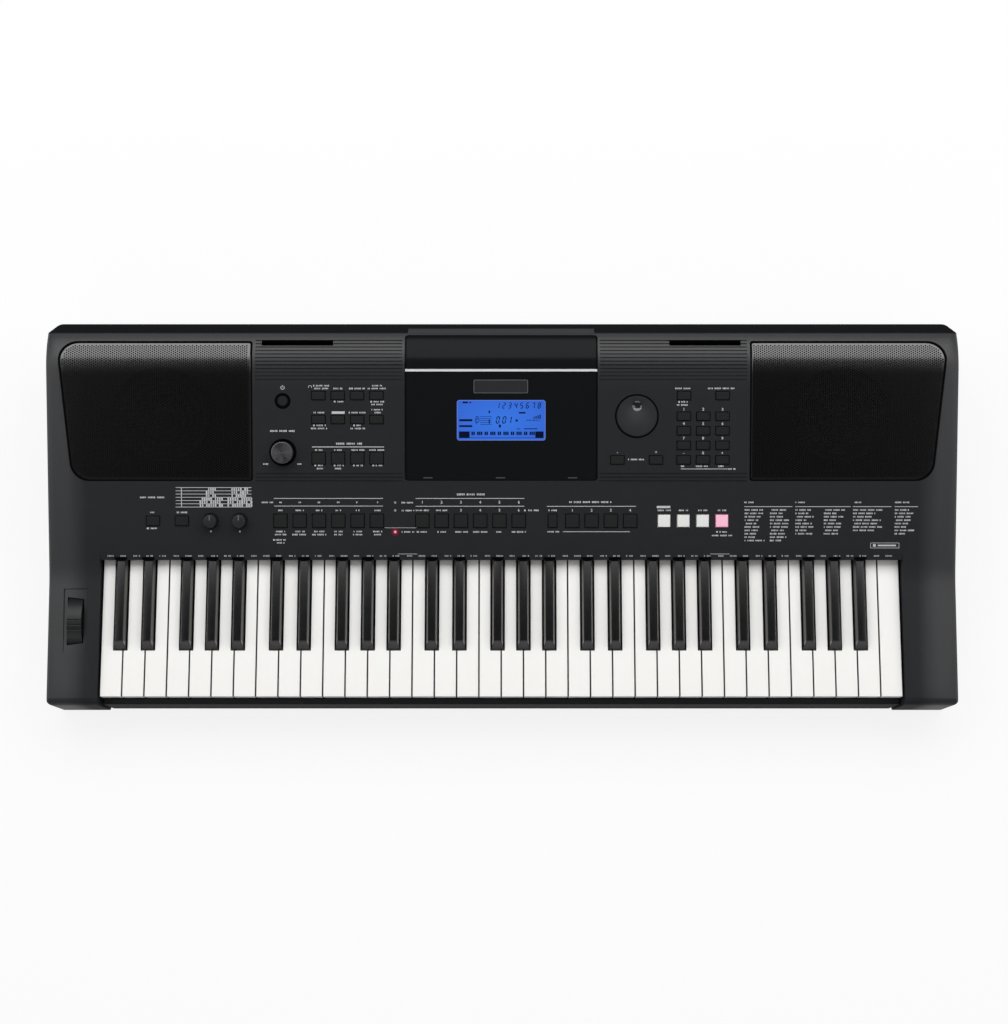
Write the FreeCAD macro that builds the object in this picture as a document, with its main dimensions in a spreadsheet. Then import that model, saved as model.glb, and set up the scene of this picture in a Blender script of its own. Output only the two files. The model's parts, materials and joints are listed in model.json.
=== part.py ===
"""Arranger keyboard with 61 keys: case, keybed, control panel, loudspeakers and electronics.

The frame has +X to the player's right, +Y towards the rear and +Z up, with the origin on the
table under the middle of the case. Sizes are millimetres and degrees.
"""
import FreeCAD, Part
import math
import os
import re

import Sketcher

V = FreeCAD.Vector
NEAR = 1e-6

# Driving dimensions
SIZES = {
    # case
    "body_depth": 404, "block_width": 57.2, "case_wall": 2.8, "parting_height": 45, "layout_shift": -1.2,
    "front_corner": 7, "rear_corner": 7, "bottom_round": 6, "front_round": 8, "blend_radius": 120,
    "block_lift": 4, "block_slope": 2.8, "panel_lift": 16.3, "panel_slope": 13.4,
    "lip_reach": 7.5, "lip_drop": 3.3, "brow_radius": 60, "brow_setback": 48, "rim_setback": 23.5,
    "rim_round": 3, "rim_flat": 2, "rear_height": 86, "rear_round": 5,
    "shoulder_front": 49, "shoulder_rear": 9, "shoulder_slope": 8, "shoulder_edge": 6,
    "rear_ledge_length": 193, "rear_ledge_overlap": 2.5, "rear_ledge_reach": 5.5,
    "rear_ledge_thickness": 3, "rear_ledge_rise": 0.3,
    "slip_setback": 2, "slip_height": 60, "slip_width": 5.4, "slip_notch": 2.8, "slip_notch_depth": 9,
    # ribbed zones and music-rest slots
    "rib_pitch": 3.8, "rib_groove": 1.4, "rib_depth": 0.8, "rib_margin": 3,
    "rest_slot_length": 74, "rest_slot_width": 6.4, "rest_slot_depth": 22, "rest_slot_offset": 211,
    "rest_slot_setback": 34.4,
    # loudspeakers and grilles
    "grille_setback": 32.3, "grille_recess": 1.6,
    "grille_thickness": 1, "grille_gap": 1.5, "grille_corner": 20, "grille_small_corner": 3,
    "grille_rim": 1.5, "speaker_offset": 352, "speaker_depth": 44, "magnet_height": 18, "speaker_ring": 2.2,
    "flange_thickness": 3,
    # display
    "display_width": 198.4, "display_setback": 26.3, "display_recess": 2,
    "display_thickness": 1.6, "display_corner": 3, "display_gap": 0.8, "screen_width": 92,
    "screen_border": 2, "screen_module": 7, "trim_width": 3.2, "trim_margin": 1.675, "trim_thickness": 0.6,
    # panel controls, in the plane of the panel: offsets from its centre and rows from its front edge
    "column_pitch": 20, "track_column": -81.8, "memory_column": 73.8,
    "memory_narrow_column": 53.3, "live_column": -361.3, "live_pitch": 30,
    "button_gap": 0.7, "button_rise": 1.6, "button_round": 0.8, "button_travel": 0.8,
    "button_length": 13.6, "button_short": 8.3, "button_tall": 12, "button_square": 13.6,
    "live_button": 9.7, "memory_narrow": 8.8, "mode_button": 12.6, "button_flange": 1.5,
    "flange_plate": 1.2, "stem_width": 5, "seat_gap": 0.1, "board_drop": 12, "board_thickness": 1.6,
    "switch_width": 6.2, "switch_height": 3.4, "board_margin": 16, "post_radius": 2.4,
    # rotary controls
    "volume_radius": 11.3, "volume_rise": 11, "live_radius": 6.8, "live_rise": 11, "dial_radius": 21.1,
    "dial_rise": 2.4, "dimple_radius": 5.2, "dimple_offset": 10.5, "dimple_depth": 1.2, "knob_gap": 1.6,
    "knob_recess": 1.4, "spindle_radius": 3, "spindle_gap": 0.1, "pot_width": 14, "bush_radius": 4.2,
    "standby_radius": 5.2, "standby_ring": 8.3,
    # pitch-bend wheel
    "wheel_inset": 30, "wheel_setback": 87.5, "wheel_radius": 32, "wheel_width": 15.2, "wheel_rise": 9,
    "wheel_gap": 1.2, "wheel_pin": 3, "wheel_recess": 1.2, "wheel_frame": 2.4, "wheel_surround": 4,
    "wheel_grip": 9, "wheel_grip_lead": 11.4,
    # keys
    "key_pitch": 23.1, "key_gap": 1.2, "key_top": 78, "key_setback": 8.7, "key_height": 12, "key_lip": 6,
    "key_wall": 1.8, "key_skin": 2.2, "key_round": 0.9, "key_dip": 2.8,
    "black_width": 12.7, "black_rise": 10, "black_taper": 2.3, "black_front_slope": 8.5, "black_gap": 1,
    "black_offset_near": 2.8, "black_offset_far": 3.8,
    "pivot_radius": 2.5, "pivot_gap": 0.1, "pivot_block": 8, "pivot_overhang": 6,
    "contact_web": 4, "contact_gap": 3.9, "dome_radius": 4.2, "dome_height": 4, "contact_board_depth": 36,
    "felt_thickness": 2.8, "felt_width": 8, "stop_rib": 3, "stop_gap": 0.4,
    "chassis_wall": 3,
    # underside and sockets
    "foot_height": 4, "foot_radius": 11, "foot_inset": 60, "bay_length": 200,
    "bay_setback": 37, "bay_height": 38, "bay_ledge": 2, "cover_thickness": 2.4, "cover_gap": 0.3,
    "grip_width": 22, "grip_depth": 6, "screw_near": 114.5, "screw_far": 389,
    "screw_radius": 1.5, "screw_head": 3.6, "screw_head_height": 2.4, "screw_length": 24, "screw_post": 5.5,
    "screw_sink": 20, "screw_gap": 0.1, "screw_inset": 19, "mainboard_width": 190,
    "mainboard_left": 126, "mainboard_height": 56, "socket_pitch": 32, "socket_nose": 5.6,
    "socket_bore": 3.25, "aux_bore": 1.8, "socket_length": 24, "socket_width": 13, "usb_width": 8.4,
    "usb_height": 7.8, "usb_shell": 1, "usb_tongue": 5.6, "supply_bore": 2.8, "mouth_sink": 0.4,
    "board_post": 2.75,
}

# Lengths drawn for the depth below, which stretch with the case's depth: set-backs from the front, rows
# on the panel, and what has to fit between them
DRAWN_DEPTH = 404
DEPTH_LENGTHS = {
    "panel_front": 157, "black_setback": 48.7, "black_end": 160,
    "contact_setback": 150, "stop_setback": 167, "pivot_setback": 214, "white_stop": 24, "black_stop": 72,
    "lower_row": 32.7, "pad_row": 95.9, "pad_pitch": 15.05, "voice_row": 97.7, "volume_row": 103.8,
    "screen_row": 137, "setup_row_low": 137.7, "dial_row": 141.3, "standby_row": 156.9,
    "setup_row_high": 162.5, "grille_depth": 142.7, "display_depth": 147.6, "screen_depth": 42,
    "speaker_radius": 60, "cone_radius": 50, "magnet_radius": 32, "speaker_margin": 48.275,
    "bay_depth": 110, "mainboard_depth": 80,
}

# Places beside the display, as distances from its edge
BESIDE_DISPLAY = {"dial_column": 41.2, "volume_reach": 126.9, "outer_column": 129.8, "grille_inner": 158.1}

WHITE_COUNT = 36
OCTAVES = {"octave_1": -2, "octave_2": -1, "octave_4": 1, "octave_5": 2}
SIDES = (-1, 1)
ARC_STATIONS = 7
FLAT_GROOVES = 4
FRONT_GROOVES = 3

doc = FreeCAD.newDocument("arranger_keyboard")
sheet = doc.addObject("Spreadsheet::Sheet", "sizes")
cells = {alias: str(size) for alias, size in SIZES.items()}
cells.update({alias: f"={size} / {DRAWN_DEPTH} * body_depth" for alias, size in DEPTH_LENGTHS.items()})
cells.update({alias: f"=display_width / 2 + {size}" for alias, size in BESIDE_DISPLAY.items()})
for row, (alias, content) in enumerate(cells.items(), start=1):
    sheet.set(f"A{row}", content)
    sheet.setAlias(f"A{row}", alias)
doc.recompute()

ALIAS = re.compile(r"\b(" + "|".join(cells) + r")\b")
nodes = []


def formula(text):
    """A formula over the sizes, written with the sheet's cell names."""
    return ALIAS.sub(r"sizes.\1", str(text))


def value(text):
    """The number that a formula over the sizes gives."""
    return float(sheet.evalExpression(formula(text)))


# Places that follow from the sizes
WIDTH = f"({WHITE_COUNT} * key_pitch + 2 * block_width)"
FRONT = "(-body_depth / 2)"
REAR = "(body_depth / 2)"
FLOOR = "(foot_height + case_wall)"
FIELD_HALF = f"({WHITE_COUNT} * key_pitch / 2)"
WELL_LEFT = f"(layout_shift - {FIELD_HALF} - key_gap)"
WELL_WIDTH = f"(2 * ({FIELD_HALF} + key_gap))"
PANEL_Y = f"({FRONT} + panel_front)"
PANEL_Z = "(key_top + panel_lift)"
LIP_Y = f"({PANEL_Y} - lip_reach)"
BROW_Y = f"({REAR} - brow_setback)"
BROW_Z = (f"({PANEL_Z} + ({BROW_Y} - brow_radius * sin(panel_slope) - {PANEL_Y}) * tan(panel_slope)"
          " - brow_radius * cos(panel_slope))")
CREST = f"({BROW_Z} + brow_radius)"
PANEL_REAR = f"(({BROW_Y} - brow_radius * sin(panel_slope) - {PANEL_Y}) / cos(panel_slope))"
TRIM_ROW = f"({PANEL_REAR} - trim_margin)"
SPEAKER_ROW = f"({PANEL_REAR} - speaker_margin)"
RIM_Y = f"({REAR} - rim_setback)"
KEY_FRONT = f"({FRONT} + key_setback)"
KEY_BOTTOM = "(key_top - key_height)"
BLACK_FRONT = f"({KEY_FRONT} + black_setback)"
PIVOT_Y = f"({FRONT} + pivot_setback)"
CONTACT_Y = f"({FRONT} + contact_setback)"
BOARD_TOP = "(-board_drop)"
SWITCH_TOP = f"({BOARD_TOP} + switch_height)"
STEM_END = f"({SWITCH_TOP} + button_travel + seat_gap)"
FLANGE_TOP = "(-case_wall - seat_gap)"
POT_TOP = f"({BOARD_TOP} + board_drop / 2)"
BUSH_TOP = "(-case_wall - knob_recess / 2)"
SPINDLE_END = f"({BOARD_TOP} + board_thickness)"
WHEEL_X = f"(wheel_inset - {WIDTH} / 2)"
WHEEL_Y = f"({FRONT} + wheel_setback)"
WHEEL_CREASE = f"(shoulder_front + wheel_setback / ({RIM_Y} - {FRONT}) * (shoulder_rear - shoulder_front))"
WHEEL_SURFACE = ("(key_top + block_lift + wheel_setback * tan(block_slope)"
                 f" - ({WHEEL_CREASE} - wheel_inset) * tan(shoulder_slope))")
WHEEL_Z = f"({WHEEL_SURFACE} - wheel_recess + wheel_rise - wheel_radius)"
BOARD_REAR = f"({REAR} - 2 * case_wall)"
SOCKET_SEAT = "(mainboard_height + board_thickness)"
SOCKET_Z = f"({SOCKET_SEAT} + socket_width / 2)"
BAY_REAR = f"({REAR} - bay_setback)"
BAY_FRONT = f"({BAY_REAR} - bay_depth)"
BAY_ROOF = "(foot_height + bay_height)"
SCREW_SEAT = "(foot_height + screw_sink)"
POST_TOP = f"({SCREW_SEAT} + screw_length / 2)"
DOME_TOP = f"({KEY_BOTTOM} - contact_gap)"
CONTACT_TOP = f"({DOME_TOP} - dome_height)"
STOP_Y = f"({FRONT} + stop_setback)"
SPEAKER_TOP = "(-case_wall - speaker_ring)"
SPEAKER_PLATE = f"({SPEAKER_TOP} - speaker_depth + magnet_height)"
TRIM_LOW = "(display_thickness - display_recess - trim_thickness / 2)"


# Building blocks
def bind(thing, **formulas):
    for name, text in formulas.items():
        thing.setExpression(name, formula(text))
    return thing


def place(thing, x=0, y=0, z=0):
    for axis, text in zip("xyz", (x, y, z)):
        thing.setExpression(f"Placement.Base.{axis}", formula(text))
    return thing


def on_panel(thing):
    """Lay a piece that is drawn in panel offsets, rows and heights onto the sloping panel."""
    thing.Placement = FreeCAD.Placement(V(0, 0, 0), FreeCAD.Rotation(V(1, 0, 0), 1))
    place(thing, "layout_shift", PANEL_Y, PANEL_Z)
    thing.setExpression("Placement.Rotation.Angle", formula("panel_slope"))
    return thing


def node(thing, label):
    thing.Label = label
    nodes.append(thing)
    return thing


def box(name, low, size):
    thing = doc.addObject("Part::Box", name)
    bind(thing, Length=size[0], Width=size[1], Height=size[2])
    return place(thing, *low)


def span(name, low, high):
    """A box between two corners."""
    return box(name, low, [f"({end}) - ({start})" for start, end in zip(low, high)])


def panel_box(name, x, row, width, depth, low, high):
    """A box about a place on the panel, between two heights over it."""
    corner = (f"{x} - ({width}) / 2", f"{row} - ({depth}) / 2", low)
    return box(name, corner, (width, depth, f"{high} - ({low})"))


def rod(name, radius, length, at, axis="z"):
    turns = {"z": (V(0, 0, 1), 0), "x": (V(0, 1, 0), 90), "y": (V(1, 0, 0), -90)}
    thing = doc.addObject("Part::Cylinder", name)
    thing.Placement = FreeCAD.Placement(V(0, 0, 0), FreeCAD.Rotation(*turns[axis]))
    bind(thing, Radius=radius, Height=length)
    return place(thing, *at)


def fuse(name, things):
    thing = doc.addObject("Part::MultiFuse", name)
    thing.Shapes = things
    thing.Refine = True
    return thing


def cut(name, base, tools):
    thing = doc.addObject("Part::Cut", name)
    thing.Base = base
    thing.Tool = tools[0] if len(tools) == 1 else group(name + "_tools", tools)
    return thing


def group(name, things):
    thing = doc.addObject("Part::Compound", name)
    thing.Links = things
    return thing


def copy_at(name, source, x=0, y=0, z=0):
    thing = doc.addObject("App::Link", name)
    thing.LinkedObject = source
    return place(thing, x, y, z)


def new_body(name):
    return doc.addObject("PartDesign::Body", name)


def origin_plane(body, role):
    return next(item for item in body.Origin.OriginFeatures if item.Role == role)


def sketch(body, name, plane, loops, lift=0):
    """A sketch of closed polygons on a plane of the body, each corner held at its formula."""
    drawing = body.newObject("Sketcher::SketchObject", name)
    drawing.AttachmentSupport = [(origin_plane(body, plane), "")]
    drawing.MapMode = "FlatFace"
    drawing.setExpression("AttachmentOffset.Base.z", formula(lift))
    for loop in loops:
        corners = [V(value(x), value(y), 0) for x, y in loop]
        first = drawing.GeometryCount
        for start, end in zip(corners, corners[1:] + corners[:1]):
            drawing.addGeometry(Part.LineSegment(start, end), False)
        for index, (x, y) in enumerate(loop):
            line = first + index
            following = first + (index + 1) % len(loop)
            drawing.addConstraint(Sketcher.Constraint("Coincident", line, 2, following, 1))
            for kind, text in (("DistanceX", x), ("DistanceY", y)):
                rule = drawing.addConstraint(Sketcher.Constraint(kind, -1, 1, line, 1, value(text)))
                drawing.setExpression(f"Constraints[{rule}]", formula(text))
    return drawing


def pad(body, name, drawing, length):
    thing = body.newObject("PartDesign::Pad", name)
    thing.Profile = drawing
    return bind(thing, Length=length)


def pocket_up(body, name, drawing, depth):
    """Cut upwards from the sketch's plane."""
    thing = body.newObject("PartDesign::Pocket", name)
    thing.Profile = drawing
    thing.Reversed = True
    return bind(thing, Length=depth)


def revolve(body, name, outline):
    """Turn an outline of radii and heights about the body's upright axis."""
    drawing = sketch(body, name + "_outline", "XZ_Plane", [outline])
    thing = body.newObject("PartDesign::Revolution", name)
    thing.Profile = drawing
    thing.ReferenceAxis = (drawing, ["V_Axis"])
    thing.Angle = 360
    return thing


def level_faces(thing, height):
    """Names of the flat level faces at a height."""
    return [f"Face{index}" for index, face in enumerate(thing.Shape.Faces, start=1)
            if abs(face.CenterOfMass.z - value(height)) < NEAR and abs(face.normalAt(0, 0).z) > 1 - NEAR]


def round_face(body, name, base, height, radius):
    """Round the rim of the level face at a height."""
    doc.recompute()
    thing = body.newObject("PartDesign::Fillet", name)
    thing.Base = (base, level_faces(base, height))
    return bind(thing, Radius=radius)


def round_uprights(body, name, base, radius, side):
    """Round the upright edges in front of the middle (side -1) or behind it (side 1)."""
    doc.recompute()
    thing = body.newObject("PartDesign::Fillet", name)
    thing.Base = (base, [f"Edge{index}" for index, edge in enumerate(base.Shape.Edges, start=1)
                         if isinstance(edge.Curve, Part.Line) and abs(edge.tangentAt(0).z) > 1 - NEAR
                         and edge.CenterOfMass.y * side > 0])
    return bind(thing, Radius=radius)


def rectangle(x, y, width, depth):
    """Corners of a rectangle about its centre."""
    left, right = f"({x}) - ({width}) / 2", f"({x}) + ({width}) / 2"
    low, high = f"({y}) - ({depth}) / 2", f"({y}) + ({depth}) / 2"
    return [(left, low), (right, low), (right, high), (left, high)]


# Shapes that follow the case's side profile
def rounded_wire(points, radii):
    """A closed wire through the points, each corner rounded by a tangent arc of its radius."""
    starts, ends, arcs = [], [], []
    count = len(points)
    for index, (point, radius) in enumerate(zip(points, radii)):
        back = (points[index - 1] - point).normalize()
        ahead = (points[(index + 1) % count] - point).normalize()
        half = back.getAngle(ahead) / 2
        reach = radius / math.tan(half)
        starts.append(point + back * reach)
        ends.append(point + ahead * reach)
        middle = point + (back + ahead).normalize() * (radius / math.sin(half) - radius)
        arcs.append(Part.Arc(starts[-1], middle, ends[-1]).toShape() if radius > 0 else None)
    edges = []
    for index in range(count):
        if arcs[index]:
            edges.append(arcs[index])
        edges.append(Part.LineSegment(ends[index], starts[(index + 1) % count]).toShape())
    return Part.Wire(edges)


def meeting(first, second):
    """The point where two lines, each a point and a direction in the YZ plane, cross."""
    (p, d), (q, e) = first, second
    along = ((q.y - p.y) * e.z - (q.z - p.z) * e.y) / (d.y * e.z - d.z * e.y)
    return p + d * along


def profile_lines():
    """The straight lines of the case's side profile, from the front face over the top to the rear face."""
    slope, rise = math.radians(value("panel_slope")), math.radians(value("block_slope"))
    brow = V(0, value(BROW_Y), value(BROW_Z))
    tilt = math.asin((value(RIM_Y) - brow.y) / value("brow_radius"))
    rim_way = V(0, math.cos(tilt), -math.sin(tilt))
    rim = brow + V(0, math.sin(tilt), math.cos(tilt)) * value("brow_radius") + rim_way * value("rim_flat")
    rear_edge = V(0, value(REAR), value("rear_height"))
    return [
        (V(0, value(FRONT), 0), V(0, 0, 1)),
        (V(0, value(FRONT), value("key_top + block_lift")), V(0, math.cos(rise), math.sin(rise))),
        (V(0, value(PANEL_Y), value(PANEL_Z)), V(0, math.cos(slope), math.sin(slope))),
        (rim, rim_way),
        (rim, (rear_edge - rim).normalize()),
        (rear_edge, V(0, 0, -1)),
    ]


def profile_wire(inset, bottom, x):
    """The case's side profile at x, moved inwards by the inset and closed at the bottom."""
    lines = [(point + V(0, way.z, -way.y) * inset, way) for point, way in profile_lines()]
    corners = [meeting(*pair) for pair in zip(lines, lines[1:])]
    points = [V(0, lines[0][0].y, bottom)] + corners + [V(0, lines[-1][0].y, bottom)]
    radii = [0, value("front_round") - inset, value("blend_radius") + inset, value("brow_radius") - inset,
             max(value("rim_round") - inset, 0), max(value("rear_round") - inset, 0), 0]
    return rounded_wire([point + V(x, 0, 0) for point in points], radii)


def profile_solid(inset, bottom, half_width):
    wire = profile_wire(inset, bottom, -half_width)
    return Part.Face(wire).extrude(V(2 * half_width, 0, 0))


def plan_wire(inset, z):
    half, front, rear = value(WIDTH) / 2 - inset, value(FRONT) + inset, value(REAR) - inset
    points = [V(-half, front, z), V(half, front, z), V(half, rear, z), V(-half, rear, z)]
    corners = [value("front_corner"), value("front_corner"), value("rear_corner"), value("rear_corner")]
    return rounded_wire(points, [max(radius - inset, 0) for radius in corners])


def upright(wire, top):
    """A prism from a level wire up to a height."""
    return Part.Face(wire).extrude(V(0, 0, top - wire.BoundBox.ZMin))


def shoulder_cutter(side):
    """The space above one end's falling shoulder, from a crease that nears the end towards the rear."""
    half, edge = value(WIDTH) / 2, value("shoulder_edge")
    fall = math.tan(math.radians(value("shoulder_slope")))
    front, rim_y = value(FRONT), value(RIM_Y)
    stations = []
    for profile_edge in profile_wire(0, 0, 0).Edges:
        bounds = profile_edge.BoundBox
        if bounds.YLength < NEAR or bounds.ZMax < NEAR:
            continue
        count = ARC_STATIONS if isinstance(profile_edge.Curve, Part.Circle) else 2
        stations += profile_edge.discretize(count)
    stations = sorted({(round(point.y, 6), round(point.z, 6)) for point in stations})
    first, last = stations[0], stations[-1]
    stations = [(first[0] - edge, first[1])] + stations + [(last[0] + edge, last[1])]
    sections = []
    for y, z in stations:
        share = (y - front) / (rim_y - front)
        crease = value("shoulder_front") + share * (value("shoulder_rear") - value("shoulder_front"))
        low, high = z - (crease - edge) * fall, z + 6 * edge
        ring = [(crease + edge, z + edge * fall)]
        for turn in (math.radians(angle) for angle in (0, 30, 60, 90)):
            ring.append((edge * (1 - math.sin(turn)), low - edge * (1 - math.cos(turn))))
        ring += [(-edge, low - edge), (-edge, high), (crease + edge, high)]
        corners = [V(side * (half - inward), y, height) for inward, height in ring]
        sections.append(Part.makePolygon(corners + corners[:1]))
    return Part.makeLoft(sections, True, True)


def case_form(inset, bottom, shoulders):
    """The upper case's outer form, or the form of its hollow with an inset of the wall."""
    form = profile_solid(inset, bottom, value(WIDTH) / 2)
    form = form.common(upright(plan_wire(inset, bottom), value(CREST) + value("case_wall")))
    for side, cutter in shoulders.items():
        form = form.cut(cutter.translated(V(-side * inset, 0, -inset)))
    return form


def block(low, high):
    """A plain block between two corners."""
    return Part.makeBox(high[0] - low[0], high[1] - low[1], high[2] - low[2], V(*low))


def panel_placement():
    turn = FreeCAD.Rotation(V(1, 0, 0), value("panel_slope"))
    return FreeCAD.Placement(V(value("layout_shift"), value(PANEL_Y), value(PANEL_Z)), turn)


def panel_block(x, row, width, depth, low, high):
    """A block about a place on the panel, between two heights over it."""
    shape = block((x - width / 2, row - depth / 2, low), (x + width / 2, row + depth / 2, high))
    shape.Placement = panel_placement()
    return shape


def panel_round(x, row, radius, low, high):
    shape = Part.makeCylinder(radius, high - low, V(x, row, low))
    shape.Placement = panel_placement()
    return shape


def skin_piece(outline, shallow, deep):
    """The part of the case's skin inside an upright outline, between two depths under its surface."""
    half = value(WIDTH)
    column = upright(outline, value(CREST) + value("case_wall"))
    piece = column.cut(profile_solid(deep, 0, half))
    if shallow >= 0:
        piece = piece.common(profile_solid(shallow, 0, half))
    return piece


def grille_outline(side, grow):
    """A grille's plan, with a slanting outer edge that keeps clear of the crease."""
    rear = value(REAR) - value("grille_setback")
    front = rear - value("grille_depth")
    half, rim = value(WIDTH) / 2, value("grille_rim")
    span = value(RIM_Y) - value(FRONT)

    def outer(y):
        share = (y - value(FRONT)) / span
        crease = value("shoulder_front") + share * (value("shoulder_rear") - value("shoulder_front"))
        return half - crease - rim
    shift = value("layout_shift")
    inner = value("grille_inner")
    points = [V(side * inner + shift, front, 0), V(side * outer(front), front, 0),
              V(side * outer(rear), rear, 0), V(side * inner + shift, rear, 0)]
    big, small = value("grille_corner"), value("grille_small_corner")
    wire = rounded_wire(points, [small, big, big, small])
    return wire.makeOffset2D(grow) if grow else wire


def display_outline(grow):
    rear = value(REAR) - value("display_setback") + grow
    front = rear - value("display_depth") - 2 * grow
    half, shift = value("display_width") / 2 + grow, value("layout_shift")
    points = [V(shift - half, front, 0), V(shift + half, front, 0), V(shift + half, rear, 0),
              V(shift - half, rear, 0)]
    return rounded_wire(points, [value("display_corner") + grow] * 4)


# Panel layout: each button group's places as offset and row, and the cap's width and depth
OUTER, STEP, LOWER = "outer_column", "column_pitch", "lower_row"
LEFT_COLUMNS = [f"({STEP} * {index} - {OUTER})" for index in range(6)]
RIGHT_COLUMNS = [f"({OUTER} - {STEP} * {index})" for index in (3, 2, 1, 0)]
TRACK_COLUMNS = [f"(track_column + {STEP} * {index})" for index in range(6)]
MEMORY_COLUMNS = [f"(memory_column + {STEP} * {index})" for index in range(4)]
CATEGORY_COLUMNS = [f"(dial_column + {STEP} * {side})" for side in (-1, 1)]
PAD_ROWS = [f"(pad_row + pad_pitch * {index})" for index in range(4)]
BUTTONS = {
    "setup_buttons": [(x, row, "button_length", "button_short")
                      for row in ("setup_row_high", "setup_row_low") for x in LEFT_COLUMNS[2:]],
    "voice_buttons": [(x, "voice_row", "button_length", "button_tall") for x in LEFT_COLUMNS[2:]],
    "live_buttons": [(f"(live_column + live_pitch * {index})", LOWER, "button_length", "live_button")
                     for index in range(2)],
    "section_buttons": [(x, LOWER, "button_square", "button_square") for x in LEFT_COLUMNS],
    "track_buttons": [(x, LOWER, "button_square", "button_square") for x in TRACK_COLUMNS],
    "memory_buttons": [("memory_narrow_column", LOWER, "memory_narrow", "button_length")]
    + [(x, LOWER, "button_length", "button_length") for x in MEMORY_COLUMNS],
    "mode_buttons": [(x, LOWER, "mode_button", "mode_button") for x in RIGHT_COLUMNS],
    "number_buttons": [(x, row, "button_length", "button_short") for row in PAD_ROWS
                       for x in RIGHT_COLUMNS[1:]],
    "function_buttons": [(x, "setup_row_high", "button_length", "button_short")
                         for x in (RIGHT_COLUMNS[1], RIGHT_COLUMNS[3])],
    "category_buttons": [(x, "pad_row", "button_length", "button_short") for x in CATEGORY_COLUMNS],
}
LIVE_KNOBS = [f"(live_column + live_pitch * {index})" for index in (2, 3)]
KNOBS = {
    "master_volume_knob": ("(-volume_reach)", "volume_row", "volume_radius"),
    "live_knob_a": (LIVE_KNOBS[0], LOWER, "live_radius"),
    "live_knob_b": (LIVE_KNOBS[1], LOWER, "live_radius"),
    "data_dial": ("dial_column", "dial_row", "dial_radius"),
}
STANDBY = ("(-volume_reach)", "standby_row")
BOARDS = {
    "lower": ("(live_column - board_margin)", "(outer_column + board_margin)",
              "(lower_row - board_margin)", "(lower_row + board_margin)"),
    "left": ("(-outer_column - board_margin)", "(column_pitch * 5 - outer_column + board_margin / 2)",
             "(pad_row - board_margin)", "(setup_row_high + board_margin)"),
    "right": ("(dial_column - column_pitch - board_margin)", "(outer_column + board_margin)",
              "(pad_row - board_margin)", "(setup_row_high + board_margin)"),
}
SCREW_PLACES = [(f"({side} * ({WIDTH} / 2 - screw_inset))", y) for side in SIDES
                for y in (f"({FRONT} + 2 * screw_inset)", f"({PANEL_Y} + 2 * screw_inset)")]
SCREW_PLACES += [(f"({side} * {reach})", f"({REAR} - screw_inset)") for side in SIDES
                 for reach in ("screw_near", "screw_far")]
SOCKET_BORES = {"pedal": "socket_bore", "phones": "socket_bore", "audio": "aux_bore",
                "supply": "supply_bore"}
SOCKETS = {name: (f"(mainboard_left + socket_pitch * {index + 0.5})", bore)
           for index, (name, bore) in enumerate(SOCKET_BORES.items())}
USB_X = f"(mainboard_left + socket_pitch * {len(SOCKETS) + 0.5})"


def board_posts():
    """Places of the posts that carry the panel boards."""
    places = []
    for left, right, low, high in BOARDS.values():
        for x in (f"({left} + post_radius)", f"({right} - post_radius)"):
            places += [(x, f"({y})") for y in (f"{low} + post_radius", f"{high} - post_radius")]
    return [(value(x), value(row)) for x, row in places]


def shell_openings():
    """Everything that is cut through the panel for its controls."""
    gap = 2 * value("button_gap")
    deep, clear = -2 * value("case_wall"), value("brow_radius")
    tools = []
    for places in BUTTONS.values():
        for x, row, width, depth in places:
            tools.append(panel_block(value(x), value(row), value(width) + gap, value(depth) + gap,
                                     deep, clear))
    bush = value("spindle_radius") + 5 * value("spindle_gap")
    for x, row, radius in KNOBS.values():
        tools.append(panel_round(value(x), value(row), bush, deep, clear))
        wide = value(radius) + value("knob_gap")
        tools.append(panel_round(value(x), value(row), wide, -value("knob_recess"), clear))
    x, row = value(STANDBY[0]), value(STANDBY[1])
    tools.append(panel_round(x, row, value("standby_radius") + value("button_gap"), deep, clear))
    tools.append(panel_round(x, row, value("standby_ring"), -value("case_wall") / 3, clear))
    border = 2 * value("screen_border")
    tools.append(panel_block(0, value("screen_row"), value("screen_width") + border,
                             value("screen_depth") + border, deep, clear))
    for side in SIDES:
        tools.append(panel_round(side * value("speaker_offset"), value(SPEAKER_ROW),
                                 value("cone_radius"), 2 * value(SPEAKER_TOP), clear))
    return tools


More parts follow.
